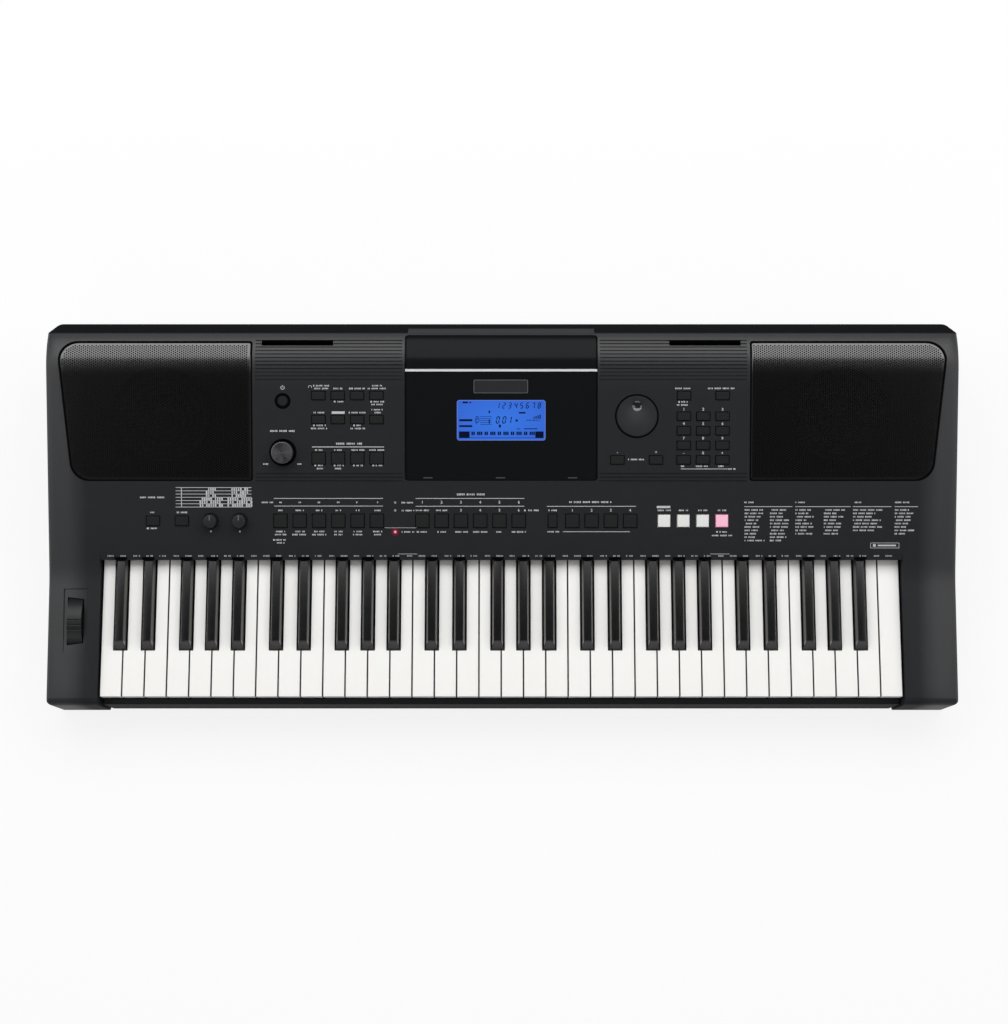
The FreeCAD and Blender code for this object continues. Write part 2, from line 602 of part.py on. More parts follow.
def groove_tools():
    """Grooves across the two control zones: over the brow, and three at the zones' front."""
    brow, radius = V(0, value(BROW_Y), value(BROW_Z)), value("brow_radius")
    slope = value("panel_slope")
    wide, deep = value("rib_groove"), value("rib_depth")
    inner = value("display_width") / 2 + value("rib_margin")
    outer = value("grille_inner") - value("rib_margin")
    frames = []
    pitch_angle = math.degrees(value("rib_pitch") / radius)
    tilt = slope - pitch_angle
    rim_tilt = -math.degrees(math.asin((value(RIM_Y) - brow.y) / radius)) + 1.5 * pitch_angle
    while tilt > rim_tilt:
        turn = FreeCAD.Rotation(V(1, 0, 0), tilt)
        frames.append(FreeCAD.Placement(brow + turn.multVec(V(0, 0, radius)), turn))
        tilt -= pitch_angle
    turn = FreeCAD.Rotation(V(1, 0, 0), slope)
    tangent = brow + turn.multVec(V(0, 0, radius))
    for index in range(FLAT_GROOVES):
        frames.append(FreeCAD.Placement(tangent - turn.multVec(V(0, index * value("rib_pitch"), 0)), turn))
    front = value(REAR) - value("grille_setback") - value("grille_depth")
    foot = V(0, front, value(PANEL_Z) + (front - value(PANEL_Y)) * math.tan(math.radians(slope)))
    for index in range(FRONT_GROOVES):
        frames.append(FreeCAD.Placement(foot + turn.multVec(V(0, index * value("rib_pitch"), 0)), turn))
    tools = []
    for frame in frames:
        for low, high in ((-outer, -inner), (inner, outer)):
            shift = value("layout_shift")
            groove = block((low + shift, -wide / 2, -deep), (high + shift, wide / 2, deep * 4))
            groove.Placement = frame
            tools.append(groove)
    return tools


def rest_slots(grow, drop):
    """The two music-rest slots, or the pockets around them."""
    length, width = value("rest_slot_length") / 2 + grow, value("rest_slot_width") / 2 + grow
    y = value(REAR) - value("rest_slot_setback")
    crest = value(CREST)
    low = crest - value("rest_slot_depth") - grow
    return [block((x - length, y - width, low), (x + length, y + width, crest - drop))
            for x in (side * value("rest_slot_offset") + value("layout_shift") for side in SIDES)]


def wheel_openings():
    """The slot that the pitch wheel rises through, and the shallow surround, in the falling shoulder."""
    place_on_top = V(value(WHEEL_X), value(WHEEL_Y), value(WHEEL_SURFACE))
    radius, rise = value("wheel_radius"), value("wheel_rise")
    room, around = value("wheel_gap"), value("wheel_surround")
    half_width = value("wheel_width") / 2 + room
    length = math.sqrt(radius ** 2 - (radius - rise) ** 2) + 2 * room
    axle = V(value(WHEEL_X) - half_width, value(WHEEL_Y), value(WHEEL_Z))
    slot = Part.makeCylinder(radius + room, 2 * half_width, axle, V(1, 0, 0))
    wide = block((-half_width - around, -length - 2 * around, -value("wheel_recess")),
                 (half_width + around, length + 2 * around, 4 * rise))
    tilt = FreeCAD.Rotation(V(0, 1, 0), -value("shoulder_slope"))
    tilt = tilt * FreeCAD.Rotation(V(1, 0, 0), value("block_slope"))
    wide.Placement = FreeCAD.Placement(place_on_top, tilt)
    return [slot, wide]


def rear_ledge():
    """The ledge behind the display, which carries the rim's fall on over the rear slope."""
    rim, way = profile_lines()[3]
    half = value("rear_ledge_length") / 2
    ledge = block((-half, -value("rear_ledge_overlap"), -value("rear_ledge_thickness")),
                  (half, value("rear_ledge_reach"), value("rear_ledge_rise")))
    turn = FreeCAD.Rotation(V(1, 0, 0), math.degrees(math.atan2(way.z, way.y)))
    ledge.Placement = FreeCAD.Placement(rim + V(value("layout_shift"), 0, 0), turn)
    return ledge


def key_well():
    """The space for the keys between the end blocks, under the panel's lip, and the lip's bevel."""
    wall, top = value("case_wall"), value(CREST) + value("case_wall")
    left, right = value(WELL_LEFT), value(f"{WELL_LEFT} + {WELL_WIDTH}")
    front, lip = value(FRONT) - wall, value(LIP_Y)
    slope = math.radians(value("panel_slope"))
    underside = value(PANEL_Z) - value("lip_reach") * math.tan(slope) - wall / math.cos(slope)
    bevel = [V(left, value(PANEL_Y), value(PANEL_Z)), V(left, lip, value(PANEL_Z) - value("lip_drop")),
             V(left, lip, top), V(left, value(PANEL_Y), top)]
    return [block((left, front, 0), (right, lip, top)),
            block((left, front, 0), (right, lip + wall, underside)),
            Part.Face(Part.makePolygon(bevel + bevel[:1])).extrude(V(right - left, 0, 0))]


def hanging_pieces():
    """Posts, speaker rings, the key stop's rib and the slots' pockets, which hang from the skin."""
    top, rib = value(CREST), value("stop_rib") / 2
    left, stop = value(WELL_LEFT), value(STOP_Y)
    pieces = [panel_round(x, row, value("post_radius"), value(BOARD_TOP), 0) for x, row in board_posts()]
    pieces += [panel_round(side * value("speaker_offset"), value(SPEAKER_ROW), value("speaker_radius"),
                           value(SPEAKER_TOP), 0) for side in SIDES]
    pieces.append(block((left, stop - rib, value("key_top + felt_thickness + seat_gap")),
                        (left + value(WELL_WIDTH), stop + rib, top)))
    pieces += rest_slots(value("case_wall"), 0)
    low = value(POST_TOP)
    for x, y in SCREW_PLACES:
        pieces.append(Part.makeCylinder(value("screw_post"), top - low, V(value(x), value(y), low)))
    return pieces


def rear_openings():
    """Holes in the rear wall for the sockets."""
    wall, mouth, height = value("case_wall"), value(REAR), value(SOCKET_Z)
    nose = value("socket_nose + 2 * seat_gap")
    tools = [Part.makeCylinder(nose, 3 * wall, V(value(x), mouth - 2 * wall, height), V(0, 1, 0))
             for x, bore in SOCKETS.values()]
    half = value("usb_width / 2 + usb_shell + seat_gap")
    tall = value("usb_height / 2 + usb_shell + seat_gap")
    middle = value(USB_X)
    tools.append(block((middle - half, mouth - 2 * wall, height - tall),
                       (middle + half, mouth + wall, height + tall)))
    return tools


def screw_pilots():
    """Holes for the screws' threads in the upper case's posts."""
    radius, length = value("screw_radius + screw_gap"), value("screw_length")
    low = value(POST_TOP) - length / 4
    return [Part.makeCylinder(radius, length, V(value(x), value(y), low)) for x, y in SCREW_PLACES]


def moulding(label, shape):
    """A moulded piece whose form follows the case's profile."""
    thing = doc.addObject("Part::Feature", label)
    thing.Shape = shape.removeSplitter()
    return node(thing, label)


def upper_case():
    """The shell with its end blocks, panel, brow and rear, and everything cut through it."""
    wall, parting = value("case_wall"), value("parting_height")
    shoulders = {side: shoulder_cutter(side) for side in SIDES}
    well = key_well()
    walled = well[0].BoundBox
    keep = block((walled.XMin - wall, walled.YMin, 0),
                 (walled.XMax + wall, walled.YMax + wall, walled.ZMax))
    hollow = case_form(wall, parting - wall, shoulders).cut(keep)
    shell = case_form(0, parting, shoulders).cut(hollow).cut(well)
    room = case_form(wall / 2, 0, shoulders)
    shell = shell.fuse([rear_ledge()] + [piece.common(room) for piece in hanging_pieces()])
    tools = shell_openings() + groove_tools() + rest_slots(0, -2 * wall) + wheel_openings()
    tools += [skin_piece(grille_outline(side, 0), -1, value("grille_recess")) for side in SIDES]
    tools.append(skin_piece(display_outline(value("display_gap")), -1, value("display_recess")))
    moulding("upper_case", shell.cut(tools + rear_openings() + screw_pilots()))


def speaker_grilles():
    deep = value("grille_recess")
    for side, name in zip(SIDES, ("left", "right")):
        outline = grille_outline(side, -value("grille_gap"))
        moulding(f"speaker_grille_{name}", skin_piece(outline, deep - value("grille_thickness"), deep))


def display():
    """The gloss panel with its window, the bright strip let into it, and the display behind it."""
    deep = value("display_recess")
    plate = skin_piece(display_outline(0), deep - value("display_thickness"), deep)
    window = panel_block(0, value("screen_row"), value("screen_width"), value("screen_depth"),
                         -2 * deep, deep)
    groove = panel_block(0, value(TRIM_ROW), 2 * value("display_width"), value("trim_width"),
                         value(TRIM_LOW), deep)
    moulding("display_panel", plate.cut([window, groove]))
    strip = box("trim_strip", ("-display_width / 2", f"{TRIM_ROW} - trim_width / 2", TRIM_LOW),
                ("display_width", "trim_width", "trim_thickness"))
    node(on_panel(group("display_trim", [strip])), "display_trim")
    body = panel_box("screen_body", "0", "screen_row", "screen_width + 4 * screen_border",
                     "screen_depth + 4 * screen_border", f"{FLANGE_TOP} - screen_module", FLANGE_TOP)
    glass = panel_box("screen_glass", "0", "screen_row", "screen_width + 2 * (screen_border - button_gap)",
                      "screen_depth + 2 * (screen_border - button_gap)", FLANGE_TOP,
                      "(-display_recess - seat_gap)")
    node(on_panel(fuse("display_module", [body, glass])), "display_module")


def tray():
    """The lower case's plain tray, hollowed from above."""
    body = new_body("tray")
    plan = sketch(body, "tray_plan", "XY_Plane", [rectangle("0", "0", WIDTH, "body_depth")], "foot_height")
    form = pad(body, "tray_form", plan, "parting_height - foot_height")
    form = round_uprights(body, "front_corners", form, "front_corner", -1)
    form = round_uprights(body, "rear_corners", form, "rear_corner", 1)
    form = round_face(body, "bottom_rim", form, "foot_height", "bottom_round")
    doc.recompute()
    hollow = body.newObject("PartDesign::Thickness", "tray_hollow")
    hollow.Base = (form, level_faces(form, "parting_height"))
    hollow.Reversed = True
    bind(hollow, Value="case_wall")
    return body


def lower_case():
    """The tray with its key slip, battery bay, and posts for the screws and the main board."""
    slip, notch = f"({FRONT} + slip_setback)", "slip_notch"
    pieces = [
        tray(),
        span("slip_wall", (WELL_LEFT, slip, "foot_height"),
             (f"{WELL_LEFT} + {WELL_WIDTH}", f"{slip} + case_wall", "parting_height")),
        span("slip_rise", (f"{WELL_LEFT} + {notch}", slip, "parting_height - case_wall"),
             (f"{WELL_LEFT} + {WELL_WIDTH} - {notch}", f"{slip} + case_wall", "slip_height")),
        span("slip_top", (f"{WELL_LEFT} + {notch}", slip, "slip_height - case_wall"),
             (f"{WELL_LEFT} + {WELL_WIDTH} - {notch}", f"{slip} + slip_width", "slip_height")),
        span("bay_walls", ("-bay_length / 2 - case_wall", f"{BAY_FRONT} - case_wall", "foot_height"),
             ("bay_length / 2 + case_wall", f"{BAY_REAR} + case_wall", f"{BAY_ROOF} + case_wall")),
    ]
    cuts = [
        span("slip_step", (WELL_LEFT, f"{FRONT} - case_wall", 0),
             (f"{WELL_LEFT} + {WELL_WIDTH}", slip, "key_top")),
        span("bay_room", ("bay_ledge - bay_length / 2", f"{BAY_FRONT} + bay_ledge", 0),
             ("bay_length / 2 - bay_ledge", f"{BAY_REAR} - bay_ledge", BAY_ROOF)),
        span("bay_mouth", ("-bay_length / 2", BAY_FRONT, 0),
             ("bay_length / 2", BAY_REAR, "foot_height + cover_thickness + seat_gap")),
    ]
    for low in (WELL_LEFT, f"({WELL_LEFT} + {WELL_WIDTH} - {notch})"):
        pieces.append(span("notch_walls", (f"{low} - case_wall", slip, "foot_height"),
                           (f"{low} + {notch} + case_wall", f"{FRONT} + slip_notch_depth + case_wall",
                            "parting_height")))
        cuts.append(span("notch", (low, f"{FRONT} - case_wall", 0),
                         (f"{low} + {notch}", f"{FRONT} + slip_notch_depth", "key_top")))
    for x, y in SCREW_PLACES:
        pieces.append(rod("screw_post", "screw_post", f"{POST_TOP} - foot_height", (x, y, "foot_height")))
        cuts.append(rod("screw_well", "screw_head + 4 * screw_gap", SCREW_SEAT, (x, y, 0)))
        cuts.append(rod("screw_hole", "screw_radius + 2 * screw_gap", "2 * screw_length", (x, y, 0)))
    for x in ("(mainboard_left + screw_post)", "(mainboard_left + mainboard_width - screw_post)"):
        for y in (f"({BOARD_REAR} - mainboard_depth + screw_post)", f"({BOARD_REAR} - screw_post)"):
            foot = (x, y, "foot_height")
            pieces.append(rod("board_post", "board_post", "mainboard_height - foot_height", foot))
    node(cut("lower_case", fuse("lower_solid", pieces), cuts), "lower_case")


def battery_cover():
    plate = span("cover_plate", ("cover_gap - bay_length / 2", f"{BAY_FRONT} + cover_gap", "foot_height"),
                 ("bay_length / 2 - cover_gap", f"{BAY_REAR} - cover_gap", "foot_height + cover_thickness"))
    grip = span("cover_grip", ("-grip_width / 2", f"{BAY_REAR} - 2 * grip_depth", 0),
                ("grip_width / 2", f"{BAY_REAR} - grip_depth", "foot_height + cover_thickness / 2"))
    node(cut("battery_cover", plate, [grip]), "battery_cover")


def feet_and_screws():
    front, rear = f"({FRONT} + foot_inset)", f"({REAR} - foot_inset)"
    places = [(f"({side} * ({WIDTH} / 2 - foot_inset))", y) for side in SIDES for y in (front, rear)]
    feet = [rod("foot", "foot_radius", "foot_height", (x, y, 0)) for x, y in places + [("0", front)]]
    node(group("rubber_feet", feet), "rubber_feet")
    screws = []
    for x, y in SCREW_PLACES:
        head_low = (x, y, f"{SCREW_SEAT} - screw_head_height")
        head = rod("screw_head", "screw_head", "screw_head_height", head_low)
        shank = rod("screw_shank", "screw_radius", "screw_length", (x, y, SCREW_SEAT))
        screws.append(fuse("screw", [head, shank]))
    node(group("case_screws", screws), "case_screws")


def panel_node(label, copies):
    """A node of copies of forms, each at its offset and row on the panel."""
    links = [copy_at(f"{label}_{index}", form, x, row)
             for index, (form, x, row) in enumerate(copies, start=1)]
    return node(on_panel(group(label, links)), label)


def button_form(width, depth):
    """A button: cap, flange under the panel and stem."""
    body = new_body(f"button_{width}_{depth}")
    under = f"({FLANGE_TOP} - flange_plate)"
    cap_plan = sketch(body, "cap_plan", "XY_Plane", [rectangle("0", "0", width, depth)], FLANGE_TOP)
    cap = pad(body, "cap", cap_plan, f"button_rise - {FLANGE_TOP}")
    round_face(body, "cap_round", cap, "button_rise", "button_round")
    flange = rectangle("0", "0", f"{width} + 2 * button_flange", f"{depth} + 2 * button_flange")
    pad(body, "flange", sketch(body, "flange_plan", "XY_Plane", [flange], under), "flange_plate")
    stem = rectangle("0", "0", "stem_width", "stem_width")
    pad(body, "stem", sketch(body, "stem_plan", "XY_Plane", [stem], STEM_END), f"{under} - {STEM_END}")
    return body


def buttons():
    forms = {}
    for label, places in BUTTONS.items():
        for x, row, width, depth in places:
            if (width, depth) not in forms:
                forms[width, depth] = button_form(width, depth)
        panel_node(label, [(forms[width, depth], x, row) for x, row, width, depth in places])
    body = new_body("standby_form")
    stem, flange = "(stem_width / 2)", "(standby_radius + button_flange)"
    under = f"({FLANGE_TOP} - flange_plate)"
    revolve(body, "standby_turn", [
        ("0", STEM_END), (stem, STEM_END), (stem, under), (flange, under), (flange, FLANGE_TOP),
        ("standby_radius", FLANGE_TOP), ("standby_radius", "button_rise - button_round"),
        ("standby_radius - button_round", "button_rise"), ("0", "button_rise")])
    panel_node("standby_button", [(body, *STANDBY)])


def knob_form(name, radius, rise):
    """A knob with the spindle that turns in its control's bush."""
    body = new_body(name)
    under = "(button_gap - knob_recess)"
    revolve(body, name + "_turn", [
        ("0", SPINDLE_END), ("spindle_radius", SPINDLE_END), ("spindle_radius", under), (radius, under),
        (radius, f"{rise} - button_round"), (f"{radius} - button_round", rise), ("0", rise)])
    return body


def knobs():
    ball = doc.addObject("Part::Sphere", "dimple_ball")
    radius = "((dimple_radius ^ 2 + dimple_depth ^ 2) / (2 * dimple_depth))"
    bind(ball, Radius=radius)
    place(ball, 0, "dimple_offset", f"dial_rise + {radius} - dimple_depth")
    live = knob_form("live_form", "live_radius", "live_rise")
    forms = {
        "master_volume_knob": knob_form("volume_form", "volume_radius", "volume_rise"),
        "live_knob_a": live,
        "live_knob_b": live,
        "data_dial": cut("dial_with_dimple", knob_form("dial_form", "dial_radius", "dial_rise"), [ball]),
    }
    for label, (x, row, radius) in KNOBS.items():
        panel_node(label, [(forms[label], x, row)])


def panel_electronics():
    """The boards under the panel with their switches and rotary controls."""
    boards = [span("board", (left, low, f"{BOARD_TOP} - board_thickness"), (right, high, BOARD_TOP))
              for left, right, low, high in BOARDS.values()]
    node(on_panel(group("panel_boards", boards)), "panel_boards")
    base = panel_box("switch_base", "0", "0", "switch_width", "switch_width", BOARD_TOP,
                     f"({SWITCH_TOP} - button_travel)")
    plunger = rod("switch_plunger", "switch_width / 4", "switch_height", (0, 0, BOARD_TOP))
    switch = fuse("switch_form", [base, plunger])
    spots = [spot[:2] for places in BUTTONS.values() for spot in places] + [STANDBY]
    panel_node("panel_switches", [(switch, x, row) for x, row in spots])
    case = panel_box("control_case", "0", "0", "pot_width", "pot_width", BOARD_TOP, POT_TOP)
    bush = rod("control_bush", "bush_radius", f"{BUSH_TOP} - {BOARD_TOP}", (0, 0, BOARD_TOP))
    bore_low = (0, 0, f"{SPINDLE_END} - seat_gap")
    bore = rod("control_bore", "spindle_radius + spindle_gap", "board_drop", bore_low)
    control = cut("control_form", fuse("control_solid", [case, bush]), [bore])
    panel_node("rotary_controls", [(control, x, row) for x, row, radius in KNOBS.values()])


def main_electronics():
    """The main board and the sockets on its rear edge."""
    node(span("main_board", ("mainboard_left", f"{BOARD_REAR} - mainboard_depth", "mainboard_height"),
              ("mainboard_left + mainboard_width", BOARD_REAR, SOCKET_SEAT)), "main_board")
    inner, mouth = f"({REAR} - case_wall - seat_gap)", f"({REAR} - mouth_sink)"
    tail, blind = f"({REAR} - socket_length)", f"({REAR} - socket_length + case_wall)"
    pieces = []
    for x, bore in SOCKETS.values():
        case = span("socket_case", (f"{x} - socket_width / 2", tail, SOCKET_SEAT),
                    (f"{x} + socket_width / 2", inner, f"{SOCKET_SEAT} + socket_width"))
        nose = rod("socket_nose", "socket_nose", f"{mouth} - {inner}", (x, inner, SOCKET_Z), "y")
        hole = rod("socket_hole", bore, "socket_length", (x, blind, SOCKET_Z), "y")
        pieces.append(cut("socket", fuse("socket_solid", [case, nose]), [hole]))
    side, tall = "(usb_width / 2 + usb_shell)", "(usb_height / 2 + usb_shell)"
    shell = fuse("usb_solid", [
        span("usb_case", (f"{USB_X} - {side}", tail, SOCKET_SEAT),
             (f"{USB_X} + {side}", inner, f"{SOCKET_Z} + {tall}")),
        span("usb_nose", (f"{USB_X} - {side}", inner, f"{SOCKET_Z} - {tall}"),
             (f"{USB_X} + {side}", mouth, f"{SOCKET_Z} + {tall}")),
    ])
    room = span("usb_room", (f"{USB_X} - usb_width / 2", blind, f"{SOCKET_Z} - usb_height / 2"),
                (f"{USB_X} + usb_width / 2", f"{mouth} + case_wall", f"{SOCKET_Z} + usb_height / 2"))
    tongue = span("usb_tongue", (f"{USB_X} - usb_tongue / 2", tail, f"{SOCKET_Z} - usb_tongue / 4"),
                  (f"{USB_X} + usb_tongue / 2", inner, f"{SOCKET_Z} + usb_tongue / 4"))
    pieces.append(fuse("usb_socket", [cut("usb_hollow", shell, [room]), tongue]))
    node(group("rear_sockets", pieces), "rear_sockets")


def loudspeakers():
    frame, cone, magnet = (new_body(f"speaker_{name}_form") for name in ("frame", "cone", "magnet"))
    sheet_metal = "flange_thickness"
    lip, plate = f"({SPEAKER_TOP} - flange_thickness)", SPEAKER_PLATE
    revolve(frame, "frame_turn", [
        ("cone_radius", SPEAKER_TOP), ("speaker_radius", SPEAKER_TOP), ("speaker_radius", lip),
        (f"cone_radius + {sheet_metal} / 2", lip), ("magnet_radius", plate), ("magnet_radius / 2", plate),
        ("magnet_radius / 2", f"{plate} + {sheet_metal}"),
        (f"magnet_radius - {sheet_metal}", f"{plate} + {sheet_metal}"),
        (f"cone_radius - {sheet_metal}", f"{lip} - {sheet_metal}"), ("cone_radius", lip)])
    coil, seat = f"(magnet_radius / 2 - {sheet_metal})", f"({plate} + 2 * {sheet_metal})"
    revolve(cone, "cone_turn", [
        ("0", seat), (coil, seat), ("cone_radius - seat_gap", f"{SPEAKER_TOP} - {sheet_metal} / 2"),
        ("cone_radius - seat_gap", SPEAKER_TOP), (coil, f"{seat} + {sheet_metal}"),
        ("0", f"{seat} + 2 * {sheet_metal}")])
    foot, bevel = f"({plate} - magnet_height)", f"({sheet_metal} / 2)"
    revolve(magnet, "magnet_turn", [
        ("0", foot), (f"magnet_radius - {bevel}", foot), ("magnet_radius", f"{foot} + {bevel}"),
        ("magnet_radius", plate), ("0", plate)])
    for label, form in (("speaker_frames", frame), ("speaker_cones", cone), ("speaker_magnets", magnet)):
        panel_node(label, [(form, f"({side} * speaker_offset)", SPEAKER_ROW) for side in SIDES])


def pitch_wheel():
    """The wheel with its grip grooves, and the frame that stands on the floor and carries its pin."""
    across, room, deep = "(wheel_width / 2)", "(wheel_width / 2 + wheel_gap)", "(wheel_radius + wheel_gap)"
    wheel = rod("wheel_disc", "wheel_radius", "wheel_width",
                (f"{WHEEL_X} - {across}", WHEEL_Y, WHEEL_Z), "x")
    tools = [rod("wheel_bore", "wheel_pin + spindle_gap", "2 * wheel_width",
                 (f"{WHEEL_X} - wheel_width", WHEEL_Y, WHEEL_Z), "x")]
    for turn in ("(-wheel_grip_lead - wheel_grip)", "(-wheel_grip_lead)", "(wheel_grip - wheel_grip_lead)"):
        at = (f"{WHEEL_X} - wheel_width", f"{WHEEL_Y} + wheel_radius * sin({turn})",
              f"{WHEEL_Z} + wheel_radius * cos({turn})")
        tools.append(rod("wheel_groove", "wheel_gap", "2 * wheel_width", at, "x"))
    node(cut("pitch_bend_wheel", wheel, tools), "pitch_bend_wheel")
    top = f"({WHEEL_SURFACE} - 3 * case_wall)"
    outer = span("wheel_frame_outer",
                 (f"{WHEEL_X} - {room} - wheel_frame", f"{WHEEL_Y} - {deep} - wheel_frame", FLOOR),
                 (f"{WHEEL_X} + {room} + wheel_frame", f"{WHEEL_Y} + {deep} + wheel_frame", top))
    inner = span("wheel_frame_inner", (f"{WHEEL_X} - {room}", f"{WHEEL_Y} - {deep}", 0),
                 (f"{WHEEL_X} + {room}", f"{WHEEL_Y} + {deep}", f"{top} + wheel_frame"))
    pin = rod("wheel_axle", "wheel_pin", f"2 * {room} + wheel_frame",
              (f"{WHEEL_X} - {room} - wheel_frame / 2", WHEEL_Y, WHEEL_Z), "x")
    node(fuse("pitch_wheel_bracket", [cut("wheel_frame_cut", outer, [inner]), pin]), "pitch_wheel_bracket")


# Keys: places are counted from the middle octave's first key
OCTAVE_WIDTH = "(7 * key_pitch)"
MIDDLE_X = f"(layout_shift - {FIELD_HALF} + 2 * {OCTAVE_WIDTH})"
BLACK_CENTRES = {
    "c_sharp": "(key_pitch - black_offset_near)",
    "d_sharp": "(2 * key_pitch + black_offset_near)",
    "f_sharp": "(4 * key_pitch - black_offset_far)",
    "g_sharp": "(5 * key_pitch)",
    "a_sharp": "(6 * key_pitch + black_offset_far)",
}
WHITE_NEIGHBOURS = {
    "c": (None, "c_sharp"), "d": ("c_sharp", "d_sharp"), "e": ("d_sharp", None), "f": (None, "f_sharp"),
    "g": ("f_sharp", "g_sharp"), "a": ("g_sharp", "a_sharp"), "b": ("a_sharp", None),
}
TAIL_END = f"({PIVOT_Y} + pivot_overhang)"
BLOCK_START = f"({PIVOT_Y} - pivot_block)"
SHOULDER = f"({BLACK_FRONT} - black_gap)"
WEB_FRONT = f"({CONTACT_Y} - contact_web / 2)"
WEB_REAR = f"({CONTACT_Y} + contact_web / 2)"


def key_edges(index, neighbours):
    """The left and right edges of a white key's head, and of its tail between the black keys."""
    head = (f"(key_pitch * {index} + key_gap / 2)", f"(key_pitch * {index + 1} - key_gap / 2)")
    left, right = neighbours
    room = "(black_width / 2 + black_gap)"
    tail = (f"({BLACK_CENTRES[left]} + {room})" if left else head[0],
            f"({BLACK_CENTRES[right]} - {room})" if right else head[1])
    return head, tail


def key_plan(head, tail, inset, front, shoulder, rear):
    """A white key's plan, without the corners where the tail is as wide as the head."""
    (left, right), (tail_left, tail_right) = head, tail
    corners = [(f"{left} + {inset}", front), (f"{right} - {inset}", front)]
    if tail_right != right:
        corners += [(f"{right} - {inset}", shoulder), (f"{tail_right} - {inset}", shoulder)]
    corners += [(f"{tail_right} - {inset}", rear), (f"{tail_left} + {inset}", rear)]
    if tail_left != left:
        corners += [(f"{tail_left} + {inset}", shoulder), (f"{left} + {inset}", shoulder)]
    return corners


def strip_plan(left, right, front, rear):
    return [(left, front), (right, front), (right, rear), (left, rear)]


def pivot_notch(body):
    """The half-round seat under a key's tail that rocks on the pivot rod."""
    notch = body.newObject("PartDesign::SubtractiveCylinder", "pivot_notch")
    notch.AttachmentOffset = FreeCAD.Placement(V(0, 0, 0), FreeCAD.Rotation(V(0, 1, 0), 90))
    notch.AttachmentSupport = [(origin_plane(body, "XY_Plane"), "")]
    notch.MapMode = "FlatFace"
    bind(notch, Radius="pivot_radius + pivot_gap", Height=f"{OCTAVE_WIDTH} + 2 * key_pitch")
    for axis, text in zip("xyz", ("-key_pitch", PIVOT_Y, KEY_BOTTOM)):
        notch.setExpression(f"AttachmentOffset.Base.{axis}", formula(text))


def white_key(label, index, neighbours, octave):
    head, tail = key_edges(index, neighbours)
    body = new_body(label)
    plan = key_plan(head, tail, "0", KEY_FRONT, SHOULDER, TAIL_END)
    slab = pad(body, "slab", sketch(body, "plan", "XY_Plane", [plan], KEY_BOTTOM), "key_height")
    round_face(body, "top_round", slab, "key_top", "key_round")
    lip = strip_plan(*head, KEY_FRONT, f"{KEY_FRONT} + key_wall")
    pad(body, "lip", sketch(body, "lip_plan", "XY_Plane", [lip], f"{KEY_BOTTOM} - key_lip"), "key_lip")
    front_room = key_plan(head, tail, "key_wall", f"{KEY_FRONT} + key_wall", f"{SHOULDER} - key_wall",
                          WEB_FRONT)
    rear_room = strip_plan(f"{tail[0]} + key_wall", f"{tail[1]} - key_wall", WEB_REAR, BLOCK_START)
    rooms = sketch(body, "hollow_plan", "XY_Plane", [front_room, rear_room], KEY_BOTTOM)
    pocket_up(body, "hollow", rooms, "key_height - key_skin")
    pivot_notch(body)
    return place(body, f"{MIDDLE_X} + {octave} * {OCTAVE_WIDTH}")


def black_key(label, centre):
    body = new_body(label)
    left, right = f"({centre} - black_width / 2)", f"({centre} + black_width / 2)"
    end = f"({FRONT} + black_end)"
    plan = strip_plan(left, right, BLACK_FRONT, TAIL_END)
    pad(body, "slab", sketch(body, "plan", "XY_Plane", [plan], KEY_BOTTOM), "key_height")
    foot = strip_plan(left, right, BLACK_FRONT, end)
    crown = strip_plan(f"{left} + black_taper", f"{right} - black_taper",
                       f"{BLACK_FRONT} + black_front_slope", end)
    rise = body.newObject("PartDesign::AdditiveLoft", "crown")
    rise.Profile = sketch(body, "crown_foot", "XY_Plane", [foot], "key_top")
    rise.Sections = [sketch(body, "crown_top", "XY_Plane", [crown], "key_top + black_rise")]
    rise.Ruled = True
    round_face(body, "crown_round", rise, "key_top + black_rise", "key_round")
    rooms = [strip_plan(f"{left} + key_wall", f"{right} - key_wall", front, rear)
             for front, rear in ((f"{BLACK_FRONT} + key_wall", WEB_FRONT), (WEB_REAR, BLOCK_START))]
    drawing = sketch(body, "hollow_plan", "XY_Plane", rooms, KEY_BOTTOM)
    pocket_up(body, "hollow", drawing, "key_height - key_skin")
    pivot_notch(body)
    return place(body, MIDDLE_X)


def keys():
    """The middle octave's keys one by one, and the other octaves as copies, with the top key."""
    whites = [white_key(f"key_{name}", index, neighbours, 0)
              for index, (name, neighbours) in enumerate(WHITE_NEIGHBOURS.items())]
    blacks = [black_key(f"key_{name}", centre) for name, centre in BLACK_CENTRES.items()]
    for body in whites + blacks:
        node(body, f"{body.Label}_octave_3")
    top_key = white_key("key_top_c", 0, (None, None), max(OCTAVES.values()) + 1)
    for name, step in OCTAVES.items():
        for colour, bodies in (("white", whites), ("black", blacks)):
            label = f"{colour}_keys_{name}"
            copies = [copy_at(f"{body.Name}_{name}", body, f"{MIDDLE_X} + {step} * {OCTAVE_WIDTH}")
                      for body in bodies]
            if colour == "white" and step == max(OCTAVES.values()):
                copies.append(top_key)
            node(group(label, copies), label)


